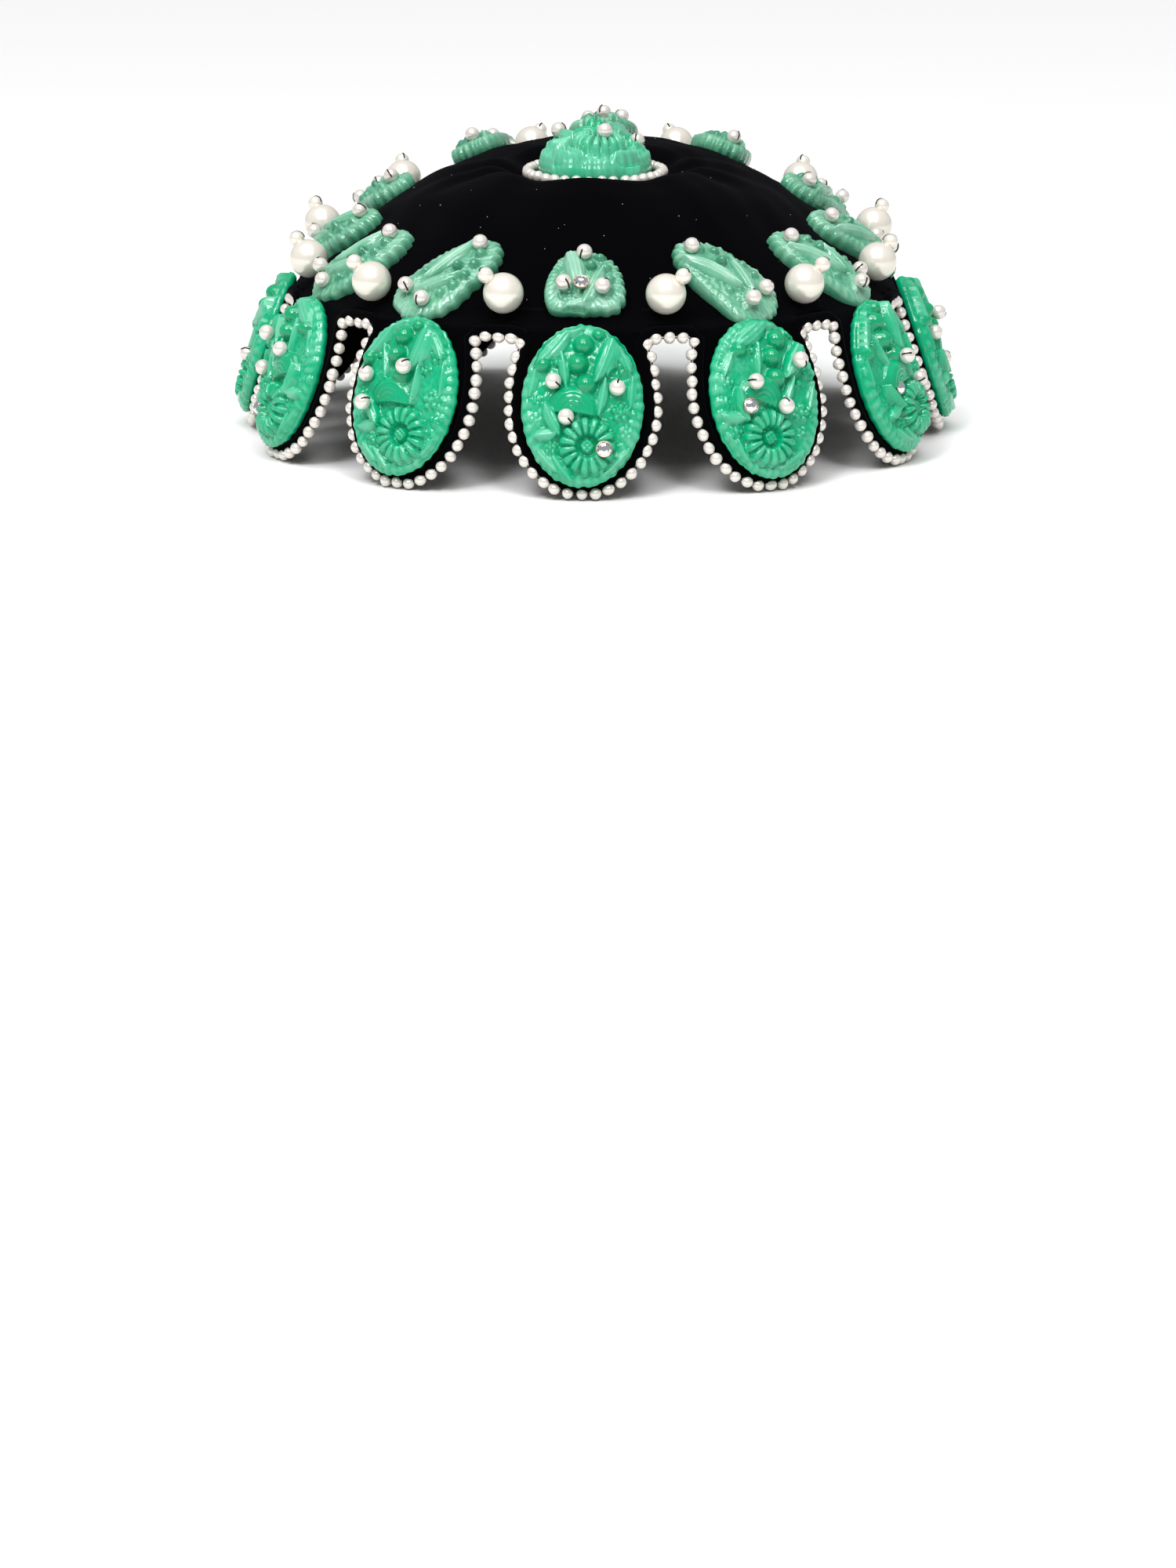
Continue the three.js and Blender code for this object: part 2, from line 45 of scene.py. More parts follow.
# Crown, the same values as the CAD's
CROWN_START = 18.6  # the crown leaves the tabs' slope here, above a plaque's middle
CROWN_RISE = 31.5  # from there to the ridge round the dimple
DIMPLE_DEPTH = 4.0
BACK_FULLNESS = 27.0  # how much higher the crown swells at the back than at the front
SIDE_SLACK = 1.0  # how much lower its shoulder lies at the sides
FOLD_DEPTH = 2.2  # of the deepest crease that runs in to the dimple
FOLD_END = 1.6  # where the creases have run out, in shares of the ridge's radius
OVAL_END = 0.6  # where the dimple's oval has become round, in shares of the crown's radius
LIP_WIDTH = 2.5  # of the dimple's rounded edge
LIP_RISE = 0.55  # how high it has come there, in shares of the dimple's depth
PANEL_FADE = (-3.0, 6.0)  # over these heights, from the crown's foot, flat panels become round
PROFILE_ROUNDING = 1.6  # how far a profile's corners are rounded, either way
SLOPE_STEP = 3.0  # the crown's slope is taken over this distance, either way

# Velvet
VOXEL = 1.08
SOFTEN_TIMES = 2
SOFTEN_SHARE = 0.5
CROWN_SHIFT = 1.5  # the most that a place moves to lie on the smooth crown
CROWN_MARGIN = 3.0  # height over which that move sets in above the crown's foot
BROAD_WAVE = 0.35
FINE_WAVE = 0.12

# Moulded glass
PLAQUE_WIDTH = 30.0
PLAQUE_LENGTH = 40.0
PLAQUE_BASE = 2.2
PLAQUE_SWELL = 2.0
LEAF_WIDTH = 18.0
LEAF_LENGTH = 30.0
LEAF_BASE = 2.0
LEAF_SWELL = 1.6
LEAF_SLANT = math.radians(31)  # how far a leaf's tip turns towards the front
LEAF_TILT = 0.06  # radians, spread of the relief's turn on the leaves
LEAF_BEND = 80.0  # radius of the curve that a leaf's back is bent to
LEAF_SINK = 1.2  # how far the back of a leaf sinks into the pile
FAN_WIDTH = 19.5
FAN_HEIGHT = 19.0
TOP_PLAQUE_STRETCH = 1.95  # the top plaque is a higher dome
TOP_PLAQUE_TONE = 0.28  # how much paler the top plaque is
RELIEF_DEPTH = 1.35  # factor on the heights in the tables of forms
RIM_LEVEL = 0.3  # the face's height over its base at the rim
RIM_TONE = 0.35
MOAT_DEPTH = 0.3  # of the groove round each form
# painted shade in the groove round each form: how much its tone is darkened
MOAT_PAINTED_SHADE = 0.4
SKIRT = ((1.0, 0.55), (0.97, 0.12), (0.93, 0.0))  # share of the outline, share of the base's height
LEAF_INSET = 13.04  # from the crown's lower edge in towards the axis
MIRRORED_TABS = (5, 7, 10)
TAB_TILTS = (0, -18, 14, 6, -10, 18, -6, 10, 0, -14, 16, 8)  # turn of each tab's relief, degrees

# Pearls, stones and threads
LARGE_PEARL = 10.0
STOP_PEARL = 4.0
SEWN_PEARL = 4.0
EDGE_PEARL = 3.0
EDGE_PITCH = 3.35  # from one small pearl of a string to the next
EDGE_MARGIN = 3.0  # from a plaque's side to the line of small pearls
END_MARGIN = 1.2  # the same below its lower end
OVAL_STEPS = 40  # places on that line from a tab's lowest one to its widest
NECK_STEPS = 16
CORNER_STEPS = 6
RING_STEPS = 120  # places on the line round the top plaque
PEARL_INSET = 6.54  # from the crown's lower edge in towards the axis
PEARL_SIZES = 0.035  # spread of the small pearls' widths, as a share
PEARL_LENGTHS = 0.05
PEARL_JITTER = 0.1
PEARL_CLEARANCE = 0.25  # room over the floor for small pearls that are large for their size
STOP_TURN = math.radians(35)  # how far a stop pearl sits to the side of its large pearl's top
JEWEL_SINK = 0.25  # how deep a pearl or stone is seated in the relief
SEWN_SEAT = 0.42  # height of a sewn pearl's middle, in shares of its diameter
THREAD = 0.45
SEWN_ARC = np.linspace(-0.2, 1.15, 9)  # angles of the thread over a sewn pearl
STOP_ARC = np.linspace(-0.3, 1.9, 10)
STONE_SIDES = 9
STONE_RINGS = ((0.7, 2.35, 0.5), (1.35, 2.0, 0.0), (1.85, 1.45, 0.5))  # radius, height, turn in sides
STONE_TABLE = 2.4
STONE_POINT = 0.4
CUP_SIDES = 20
CUP_RINGS = ((1.3, 0.0, 0), (1.85, 0.5, 0), (2.0, 1.3, 0), (1.95, 1.6, 0), (1.8, 1.5, 0), (1.7, 0.5, 0))

# Turned cloth along the rim
ROLL = 2.7  # thickness of the rolled edge
ROLL_INSET = 1.7  # from the pearls' line in towards the cloth
BAND_START = 1.0  # above the pearls' line across a notch
BAND_REACH = 8.0  # from the crown's lower edge in towards the axis
BAND_SPAN = math.radians(7.5)
BAND_DEPTHS = (0.25, 1.6)  # of its two faces under the crown's face
BAND_COLUMNS = 17
BAND_ROWS = 10

# Clearances
GAP = 0.3
LEAF_GAP = 0.95  # under the middle of a leaf on the crown's curve
PEARL_GAP = 0.7
STAND_FLAT = 0.2  # how far the lowest pearls are cut level in the CAD

# Lint on the velvet
LINT_COUNT = 90
LINT_RADII = (30, 74)
LINT_THICKNESS = 0.16
LINT_STRETCH = (0.8, 3.0)
LINT_LIFT = 0.12

# Colours: a glass has its deep, middle and pale tones
JADE = ((0.0, 0.29, 0.125), (0.001, 0.355, 0.17), (0.10, 0.46, 0.29))
PALE_JADE = ((0.03, 0.20, 0.11), (0.10, 0.34, 0.21), (0.27, 0.51, 0.38))
VELVET_BLACK = (0.0008, 0.0008, 0.0011)
CREAM = (0.80, 0.75, 0.67)
SILVER = (0.76, 0.71, 0.66)
THREAD_BLACK = (0.006, 0.006, 0.007)
COPPER = (0.62, 0.45, 0.34)
CRYSTAL = (0.74, 0.75, 0.80)
LINT_GREY = (0.45, 0.45, 0.47)

# Camera and light, in metres, degrees and watts
CAMERA_PLACE = (0.0290, -0.8495, 0.1679)
CAMERA_PITCH = 17.61  # down
CAMERA_TURN = 2.08
CAMERA_LENS = 72.86
LIGHT_AIM = (0, 0, 0.04)
LIGHTS = (
    ("left_box", (-0.34, -0.85, 0.95), (0.3, 0.4), 6),
    ("right_box", (0.28, -0.85, 0.95), (0.25, 0.4), 4),
)
SUN_STRENGTH = 2.1
SUN_SPREAD = 50
SUN_TURN = (18, -8)
WORLD_STRENGTH = 0.42
FLOOR_REACH = 12.0
FLOOR_DROP = 0.0002
FLOOR_GREY = (0.9, 0.9, 0.9)

PITCH = 2 * math.pi / TAB_COUNT
EDGE_WIDTH = PLAQUE_WIDTH / 2 + EDGE_MARGIN
EDGE_LENGTH = PLAQUE_LENGTH / 2 + END_MARGIN
RING_LENGTH = PLAQUE_LENGTH / 2 + EDGE_MARGIN
PLAQUE_HEIGHT = (
    EDGE_LENGTH * math.cos(TAB_LEAN) + EDGE_PEARL / 2 + WALL / 2 * math.sin(TAB_LEAN) - STAND_FLAT
)
LOWEST_PEARL = EDGE_PEARL / 2 - STAND_FLAT + PEARL_CLEARANCE
CROWN_RADIUS = TAB_RADIUS - CROWN_START * math.sin(TAB_LEAN)
CROWN_FOOT = PLAQUE_HEIGHT + CROWN_START * math.cos(TAB_LEAN)
DIMPLE_FLOOR = CROWN_FOOT + CROWN_RISE - DIMPLE_DEPTH
DIMPLE_WIDTH = EDGE_WIDTH + EDGE_PEARL / 2 + 1
DIMPLE_LENGTH = RING_LENGTH + EDGE_PEARL / 2 + 1

# The crown's slope: shares of its radius, of its rise and of the back's fullness
CROWN_PROFILE = (
    (1.0, 0.0, 0.0),
    (0.975, 0.025, 0.45),
    (0.94, 0.07, 0.8),
    (0.88, 0.18, 0.9),
    (0.79, 0.36, 0.78),
    (0.69, 0.56, 0.58),
    (0.59, 0.745, 0.38),
    (0.5, 0.9, 0.2),
    (0.41, 1.0, 0.05),
)

# Creases round the dimple: azimuth and spread in degrees, share of FOLD_DEPTH
FOLDS = (
    (-98, 9, 1.0),
    (-72, 8, 0.75),
    (-128, 11, 0.6),
    (-28, 9, 0.3),
    (22, 10, 0.3),
    (74, 9, 0.7),
    (100, 10, 0.9),
    (131, 9, 0.7),
    (176, 12, 0.5),
)

# Forms of a plaque's relief, in mm and degrees: x and y of the middle, half width or radius, length,
# turn, height, and tone from 0, deep green, to 1, pale
PLAQUE_FORMS = (
    ("leaf", -6.6, 14.6, 3.0, 12, 50, 1.9, 0.75),
    ("leaf", -3.0, 17.6, 1.6, 7, 20, 1.4, 0.7),
    ("leaf", 9.6, 12.6, 2.2, 10, 118, 1.8, 0.75),
    ("leaf", 8.0, 13.0, 2.0, 13, 74, 2.2, 0.65),
    ("leaf", 5.8, 11.2, 2.5, 13, 70, 2.7, 0.7),
    ("leaf", -4.4, 8.4, 1.5, 9, 98, 1.8, 0.65),
    ("leaf", 5.0, 1.8, 1.5, 10, 80, 2.1, 0.7),
    ("leaf", 12.0, 3.0, 1.5, 8, 86, 1.4, 0.6),
    ("leaf", -12.0, 5.4, 1.5, 7, 78, 1.4, 0.6),
    ("leaf", -4.8, -15.6, 1.7, 8, -52, 1.5, 0.65),
    ("leaf", -8.4, -13.8, 1.6, 7, -48, 1.4, 0.75),
    ("leaf", 8.8, -14.0, 1.7, 9, 44, 1.4, 0.7),
    ("blossom", 10.4, 9.0, 2.4, 0, 0, 1.7, 0.3),
    ("blossom", 9.4, -2.0, 2.6, 0, 0, 1.9, 0.5),
    ("blossom", 10.8, -6.8, 2.0, 0, 0, 1.5, 0.6),
    ("blossom", -7.6, -10.6, 1.9, 0, 0, 1.7, 0.45),
    ("blossom", -11.4, 1.0, 1.8, 0, 0, 1.4, 0.5),
    ("blossom", -11.2, -4.0, 1.7, 0, 0, 1.3, 0.6),
    ("berry", 0.2, 14.6, 2.8, 0, 0, 2.7, 0.1),
    ("berry", 3.9, 17.2, 1.9, 0, 0, 1.9, 0.2),
    ("berry", -1.1, 9.8, 2.7, 0, 0, 3.2, 0.05),
    ("berry", 0.9, 4.8, 2.9, 0, 0, 3.0, 0.05),
    ("berry", -9.7, 9.7, 2.3, 0, 0, 2.5, 0.1),
    ("berry", -6.3, 10.2, 1.3, 0, 0, 1.8, 0.2),
    ("berry", 7.6, 5.2, 1.3, 0, 0, 1.8, 0.25),
    ("berry", 12.7, -2.4, 1.1, 0, 0, 1.2, 0.35),
    ("arch", -2.2, -2.0, 6.9, 0, 0, 3.2, 0.35),
    ("leaf", -7.4, -3.8, 2.0, 9, -64, 2.5, 0.6),
    ("leaf", -8.6, -7.4, 1.8, 6.5, 6, 2.0, 0.85),
    ("daisy", 1.4, -10.2, 7.7, 0, 0, 2.8, 0.6),
)

# Forms of a leaf's relief, as above
LEAF_FORMS = (
    ("leaf", -2.4, 3.0, 2.6, 17, 97, 1.8, 0.75),
    ("leaf", 2.0, -3.5, 2.2, 13, 64, 1.7, 0.6),
    ("leaf", -2.2, -8.5, 1.9, 9, 20, 1.4, 0.8),
    ("berry", 1.6, 9.6, 1.7, 0, 0, 1.9, 0.35),
    ("berry", 3.9, 6.4, 1.6, 0, 0, 1.8, 0.3),
    ("berry", 5.2, 2.6, 1.6, 0, 0, 1.7, 0.35),
    ("berry", 5.9, -1.2, 1.5, 0, 0, 1.6, 0.4),
    ("berry", 5.4, -5.0, 1.5, 0, 0, 1.6, 0.35),
    ("berry", 1.6, 3.0, 1.6, 0, 0, 2.2, 0.2),
    ("berry", -5.0, -3.6, 1.4, 0, 0, 1.5, 0.4),
    ("blossom", -4.2, -7.2, 1.8, 0, 0, 1.4, 0.6),
)

# Pearls and stones sewn on each tab's plaque, from the front towards +X: kind, x and y
TAB_JEWELS = (
    (("pearl", -7.0, 5.5), ("pearl", 8.5, 4.0), ("pearl", -3.8, -3.2), ("stone", 5.6, -11.2)),
    (("pearl", 8.3, 7.8), ("pearl", -4.8, 3.6), ("pearl", 2.8, -3.1), ("stone", -7.1, -2.1)),
    (("pearl", 0.1, 3.6), ("pearl", 8.8, -3.0), ("stone", -2.8, -3.4)),
    (("pearl", 2.6, 7.0), ("pearl", -7.5, 4.0), ("pearl", -4.0, -4.0)),
    (("pearl", -7.0, 5.5), ("pearl", 8.5, 4.0), ("pearl", -3.8, -3.2)),
    (("pearl", 2.2, 6.5), ("pearl", -9.5, 4.0), ("pearl", 6.5, -3.4), ("stone", -6.7, -9.0)),
    (("pearl", 7.0, 5.5), ("pearl", -8.5, 4.0), ("pearl", 3.8, -3.2)),
    (("pearl", -2.2, 6.5), ("pearl", 9.5, 4.0), ("pearl", -6.5, -3.4)),
    (("pearl", -7.0, 5.5), ("pearl", 8.5, 4.0), ("stone", 3.8, -6.0)),
    (("pearl", -4.0, 8.0), ("pearl", -9.0, 3.0), ("pearl", 4.0, -4.0)),
    (("pearl", 1.0, 4.9), ("pearl", -7.4, 7.6), ("pearl", -9.6, -1.3), ("stone", -6.2, -11.4)),
    (("pearl", 2.2, 6.5), ("pearl", -10.3, 4.0), ("pearl", -8.0, -3.4)),
)
LEAF_JEWELS = (("pearl", -0.6, 11.2), ("pearl", -3.4, -10.0), ("pearl", 3.6, -9.6))
FAN_JEWELS = (("pearl", -0.4, 7.4), ("pearl", -5.2, -4.0), ("stone", -0.8, -3.8), ("pearl", 4.4, -4.6))
TOP_JEWELS = (("pearl", 11.0, 6.0), ("pearl", -10.0, 8.0), ("pearl", 3.0, -13.0))

# Outlines in shares of the half width and half length
LEAF_OUTLINE = (
    (-0.2, -1.0),
    (0.55, -0.92),
    (0.95, -0.6),
    (1.0, -0.25),
    (0.85, 0.1),
    (0.8, 0.5),
    (0.45, 0.85),
    (0.0, 1.0),
    (-0.4, 0.88),
    (-0.75, 0.5),
    (-0.9, 0.1),
    (-0.95, -0.3),
    (-1.0, -0.7),
    (-0.75, -0.95),
)
FAN_OUTLINE = (
    (-0.85, -0.95),
    (-0.3, -1.0),
    (0.3, -1.0),
    (0.85, -0.9),
    (1.0, -0.6),
    (0.95, -0.1),
    (0.85, 0.35),
    (0.6, 0.75),
    (0.2, 0.95),
    (-0.25, 0.97),
    (-0.65, 0.82),
    (-0.85, 0.4),
    (-1.0, -0.1),
    (-1.0, -0.6),
)


# Places and frames
def smooth(low, high, x):
    """0 below low, 1 above high, and an even turn between."""
    t = np.clip((np.asarray(x, float) - low) / (high - low), 0, 1)
    return t * t * (3 - 2 * t)


def unit(v):
    return v / np.linalg.norm(v)


def wrapped(angle):
    return np.arctan2(np.sin(angle), np.cos(angle))


def outward(azimuth):
    return np.array([math.sin(azimuth), -math.cos(azimuth), 0.0])


def sideways(azimuth):
    return np.array([math.cos(azimuth), math.sin(azimuth), 0.0])


def from_tab(azimuth):
    """The angle from the middle of the nearest tab."""
    return float(wrapped(azimuth - round(azimuth / PITCH) * PITCH))


def framed(x, y, z, place):
    """A frame with these three axes at a place."""
    m = np.eye(4)
    m[:3, 0], m[:3, 1], m[:3, 2], m[:3, 3] = x, y, z, place
    return m


def shifted(x, y, z):
    return framed((1, 0, 0), (0, 1, 0), (0, 0, 1), (x, y, z))


def turned_z(angle):
    c, s = math.cos(angle), math.sin(angle)
    return framed((c, s, 0), (-s, c, 0), (0, 0, 1), (0, 0, 0))


def moved(m, points):
    return np.asarray(points, float) @ m[:3, :3].T + m[:3, 3]


def on_tab(i, u, v, lift):
    """A place on tab i: u across it, v up its slope from the plaque's middle, lift off its face."""
    azimuth = i * PITCH
    radius = TAB_RADIUS - v * math.sin(TAB_LEAN) + lift * math.cos(TAB_LEAN)
    height = PLAQUE_HEIGHT + v * math.cos(TAB_LEAN) + lift * math.sin(TAB_LEAN)
    return outward(azimuth) * radius + sideways(azimuth) * u + np.array([0, 0, height])


def tab_frame(i, lift):
    across = sideways(i * PITCH)
    up = unit(on_tab(i, 0, 1, 0) - on_tab(i, 0, 0, 0))
    return framed(across, up, np.cross(across, up), on_tab(i, 0, 0, lift))


# The crown's form
PROFILE_RADII = np.array(
    [0, DIMPLE_LENGTH, DIMPLE_LENGTH + LIP_WIDTH] + [p[0] * CROWN_RADIUS for p in CROWN_PROFILE[::-1]]
)
PROFILE_HEIGHTS = np.array(
    [DIMPLE_FLOOR, DIMPLE_FLOOR, DIMPLE_FLOOR + DIMPLE_DEPTH * LIP_RISE]
    + [CROWN_FOOT + p[1] * CROWN_RISE for p in CROWN_PROFILE[::-1]]
)
PROFILE_FULL = np.array([0, 0, 0] + [p[2] for p in CROWN_PROFILE[::-1]])


def fullness(azimuth):
    """How much higher the crown's shoulder is than at the front."""
    return BACK_FULLNESS * ((1 - np.cos(azimuth)) / 2) ** 3 - SIDE_SLACK * np.sin(azimuth) ** 2


def fold_depth(azimuth, radius):
    """Depth of the creases that run in to the dimple."""
    ridge = CROWN_PROFILE[-1][0] * CROWN_RADIUS
    along = smooth(DIMPLE_WIDTH, ridge, radius) * (1 - smooth(ridge, ridge * FOLD_END, radius))
    depth = 0.0
    for middle, spread, share in FOLDS:
        away = wrapped(azimuth - math.radians(middle))
        depth = depth + share * np.exp(-((away / math.radians(spread)) ** 2))
    return FOLD_DEPTH * depth * along


def squeeze(azimuth, radius):
    """How far the dimple's oval draws a place in towards the axis."""
    oval = 1 / np.hypot(np.sin(azimuth) / DIMPLE_WIDTH, np.cos(azimuth) / DIMPLE_LENGTH)
    inner = 1 - smooth(DIMPLE_LENGTH, CROWN_RADIUS * OVAL_END, radius)
    return 1 + inner * (oval / DIMPLE_LENGTH - 1)


def crown_height(azimuth, radius):
    """Height of the crown's face at an azimuth and a radius of the round form, its corners rounded."""
    total = 0.0
    for shift, weight in ((-PROFILE_ROUNDING, 0.25), (0, 0.5), (PROFILE_ROUNDING, 0.25)):
        r = np.clip(radius + shift, 0, CROWN_RADIUS)
        full = fullness(azimuth) * np.interp(r, PROFILE_RADII, PROFILE_FULL)
        total = total + weight * (np.interp(r, PROFILE_RADII, PROFILE_HEIGHTS) + full)
    return total - fold_depth(azimuth, radius)


def on_crown(azimuth, radius):
    """A place on the crown's face at an azimuth and a radius of the round form."""
    base = float(np.interp(radius, PROFILE_RADII, PROFILE_HEIGHTS))
    full = float(np.interp(radius, PROFILE_RADII, PROFILE_FULL))
    flat = 1 - float(smooth(CROWN_FOOT + PANEL_FADE[0], CROWN_FOOT + PANEL_FADE[1], base))
    panel = 1 + flat * (1 / math.cos(from_tab(azimuth)) - 1)
    place = outward(azimuth) * radius * panel * float(squeeze(azimuth, radius))
    place[2] = base + full * float(fullness(azimuth)) - float(fold_depth(azimuth, radius))
    return place


def crown_frame(azimuth, radius, lift):
    """A frame on the crown: x along it, y up its slope, z off it."""
    turn = SLOPE_STEP / radius
    slope = on_crown(azimuth, radius - SLOPE_STEP) - on_crown(azimuth, radius + SLOPE_STEP)
    across = unit(on_crown(azimuth + turn, radius) - on_crown(azimuth - turn, radius))
    off = unit(np.cross(across, slope))
    return framed(across, np.cross(off, across), off, on_crown(azimuth, radius) + off * lift)


# Meshes
def dress(mesh, name, material, replaces=(), shade_smooth=True):
    """Puts a mesh in the scene as a piece that rides on the cap."""
    mesh.materials.append(material)
    mesh.polygons.foreach_set("use_smooth", [shade_smooth] * len(mesh.polygons))
    piece = bpy.data.objects.new(name, mesh)
    bpy.context.scene.collection.objects.link(piece)
    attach(piece, "root")
    if replaces:
        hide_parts(*replaces)


def make(name, points, faces, material, slot, replaces=(), tone=None, shade_smooth=True):
    """A piece of these places in mm, with a tone for each where it is moulded glass: the glass's own shades
    of green, with painted shade and light from the relief.
    """
    mesh = bpy.data.meshes.new(name)
    mesh.from_pydata((np.asarray(points) * MM).tolist(), [], [list(map(int, f)) for f in faces])
    mesh.validate()
    if tone is not None:
        layer = mesh.color_attributes.new("tone", "FLOAT_COLOR", "POINT")
        colours = np.ones((len(mesh.vertices), 4), np.float32)
        colours[:, :3] = np.clip(tone, 0, 1)[:, None]
        layer.data.foreach_set("color", colours.ravel())
    dress(mesh, name, material, replaces, shade_smooth)


def sphere(diameter, sides, rows):
    """Places and triangles of a round bead."""
    radius = diameter / 2
    points = [(0, 0, radius)]
    for row in range(1, rows):
        polar = math.pi * row / rows
        for side in range(sides):
            turn = 2 * math.pi * side / sides
            x = radius * math.sin(polar) * math.cos(turn)
            y = radius * math.sin(polar) * math.sin(turn)
            points.append((x, y, radius * math.cos(polar)))
    points.append((0, 0, -radius))
    faces = []
    last_place = len(points) - 1
    last_row = 1 + (rows - 2) * sides
    for side in range(sides):
        after = (side + 1) % sides
        faces.append((0, 1 + side, 1 + after))
        for row in range(rows - 2):
            a = 1 + row * sides + side
            b = 1 + row * sides + after
            faces.append((a, a + sides, b + sides))
            faces.append((a, b + sides, b))
        faces.append((last_place, last_row + after, last_row + side))
    return np.array(points), np.array(faces)


def copies(template, frames):
    """One template at each frame, as one set of places and faces."""
    points, faces = template
    all_points = [moved(m, points) for m in frames]
    all_faces = [faces + i * len(points) for i in range(len(frames))]
    return np.concatenate(all_points), np.concatenate(all_faces)


def joined(parts):
    """Several sets of places and faces as one."""
    points = []
    faces = []
    start = 0
    for part_points, part_faces in parts:
        points.append(part_points)
        faces.extend((np.asarray(part_faces) + start).tolist())
        start += len(part_points)
    return np.concatenate(points), faces


def tube(path, radius, sides=6, closed=False):
    """A round thread along a line of places."""
    path = np.asarray(path, float)
    count = len(path)
    points = []
    guide = np.array([0.3, 0.2, 1.0])
    for i in range(count):
        ahead = path[(i + 1) % count if closed else min(i + 1, count - 1)]
        behind = path[(i - 1) % count if closed else max(i - 1, 0)]
        run = unit(ahead - behind)
        side = unit(np.cross(run, guide))
        guide = np.cross(side, run)
        for k in range(sides):
            turn = 2 * math.pi * k / sides
            points.append(path[i] + radius * (side * math.cos(turn) + guide * math.sin(turn)))
    rows = count if closed else count - 1
    faces = wound(rows, sides, count)
    return np.array(points), faces


def wound(rows, sides, count):
    """Faces between neighbouring rows of places, which close on themselves along each row."""
    faces = []
    for i in range(rows):
        j = (i + 1) % count
        for k in range(sides):
            m = (k + 1) % sides
            faces.append((i * sides + k, i * sides + m, j * sides + m, j * sides + k))
    return faces


def slab_faces(columns, rows):
    """Faces of a closed slab: two layers of columns of places, the outer layer first."""
    layer = columns * rows
    faces = []
    for column in range(columns - 1):
        for row in range(rows - 1):
            a = column * rows + row
            b = a + rows
            faces.append((a, b, b + 1, a + 1))
            faces.append((layer + a, layer + a + 1, layer + b + 1, layer + b))
    border = list(range(rows))
    border += [column * rows + rows - 1 for column in range(1, columns)]
    border += [layer - 1 - step for step in range(1, rows)]
    border += [column * rows for column in range(columns - 2, 0, -1)]
    for a, b in zip(border, border[1:] + border[:1]):
        faces.append((a, b, layer + b, layer + a))
    return faces


def evenly_spaced(path, pitch):
    """Places at equal steps along a closed line, and the direction of the line there."""
    path = np.vstack([path, path[:1]])
    lengths = np.concatenate([[0], np.cumsum(np.linalg.norm(np.diff(path, axis=0), axis=1))])
    count = round(lengths[-1] / pitch)
    stations = np.arange(count) / count * lengths[-1]
    places = np.stack([np.interp(stations, lengths, path[:, k]) for k in range(3)], axis=1)
    runs = np.roll(places, -1, axis=0) - np.roll(places, 1, axis=0)
    return places, runs / np.linalg.norm(runs, axis=1)[:, None]


# Forms of the moulded glass: heights at x and y from a form's middle. They all take a row's values, and
# the round ones have no use for its length and turn.
def berry(x, y, size, length, turn, height):
    r = np.hypot(x, y) / size
    return height * np.sqrt(np.clip(1 - r**2, 0, 1))


def blossom(x, y, size, length, turn, height):
    total = berry(x, y, size * 0.42, 0, 0, height)
    petals = 5
    ring = size * 0.62
    for k in range(petals):
        a = 2 * math.pi * k / petals + 0.3
        petal_x = x - ring * math.cos(a)
        petal_y = y - ring * math.sin(a)
        total = np.maximum(total, berry(petal_x, petal_y, size * 0.46, 0, 0, height * 0.85))
    return total


def daisy(x, y, size, length, turn, height):
    petals = 15
    r = np.hypot(x, y)
    a = np.arctan2(y, x)
    crest = np.abs(np.cos(petals * a / 2))
    end = size * (0.82 + 0.18 * crest**0.5)
    dish = size * 0.3
    fall = 1 - 0.35 * ((r - dish * 1.9) / (size - dish * 1.9)) ** 2
    furrow = 1 - 0.12 * np.exp(-((np.sin(petals * a / 2) / 0.3) ** 2))
    spread = smooth(0, 1.2, end - r) * smooth(dish * 0.85, dish * 1.4, r)
    leafy = height * (0.42 + 0.58 * crest**0.7) * fall * furrow * spread
    seeds = 0.1 * height * np.cos(x * 4.6) * np.cos(y * 4.6)
    heart = (height * 0.6 + seeds) * smooth(0, 0.7, dish * 0.9 - r)
    return np.maximum(leafy, heart)


def leaf(x, y, size, length, turn, height):
    a = math.radians(turn)
    along = x * math.cos(a) + y * math.sin(a)
    across = y * math.cos(a) - x * math.sin(a)
    half = length / 2
    across = across - 0.06 * size * (along / half) ** 2 * size
    width = size * np.clip(1 - (along / half) ** 2, 0.001, 1) ** 0.75
    swell = np.sqrt(np.clip(1 - (across / width) ** 2, 0, 1))
    ribs = 0.17 * np.cos(across * 2 * math.pi / 1.15)
    inside = (np.abs(along) < half) * swell
    return (height + ribs) * inside**0.85


def arch(x, y, size, length, turn, height):
    r = np.hypot(x, y)
    a = np.degrees(np.arctan2(y, x))
    window = smooth(-30, -4, a) * (1 - smooth(184, 210, np.where(a < -90, a + 360, a)))
    shell = np.sqrt(np.clip(1 - (r / size) ** 3, 0, 1))
    groove = 0.4 * np.exp(-(((r - size * 0.85) / 0.25) ** 2))
    ribs = 0.1 * np.cos(r * 2 * math.pi / 1.2)
    fall = 1 - 0.35 * smooth(0, size, size - y)
    return np.maximum(0, (height + ribs) * shell * fall - groove * shell) * window


FORMS = {"berry": berry, "blossom": blossom, "daisy": daisy, "leaf": leaf, "arch": arch}


# Moulded pieces
def fluted(theta):
    """The wave of small flutes round a moulded rim."""
    return np.cos(44 * theta + 2 * np.sin(3 * theta))


def oval_outline(theta):
    scallop = 0.99 + 0.006 * fluted(theta) + 0.005 * np.cos(19 * theta + 1) + 0.005 * np.cos(31 * theta)
    return np.stack([np.cos(theta) * scallop, np.sin(theta) * scallop], axis=1)


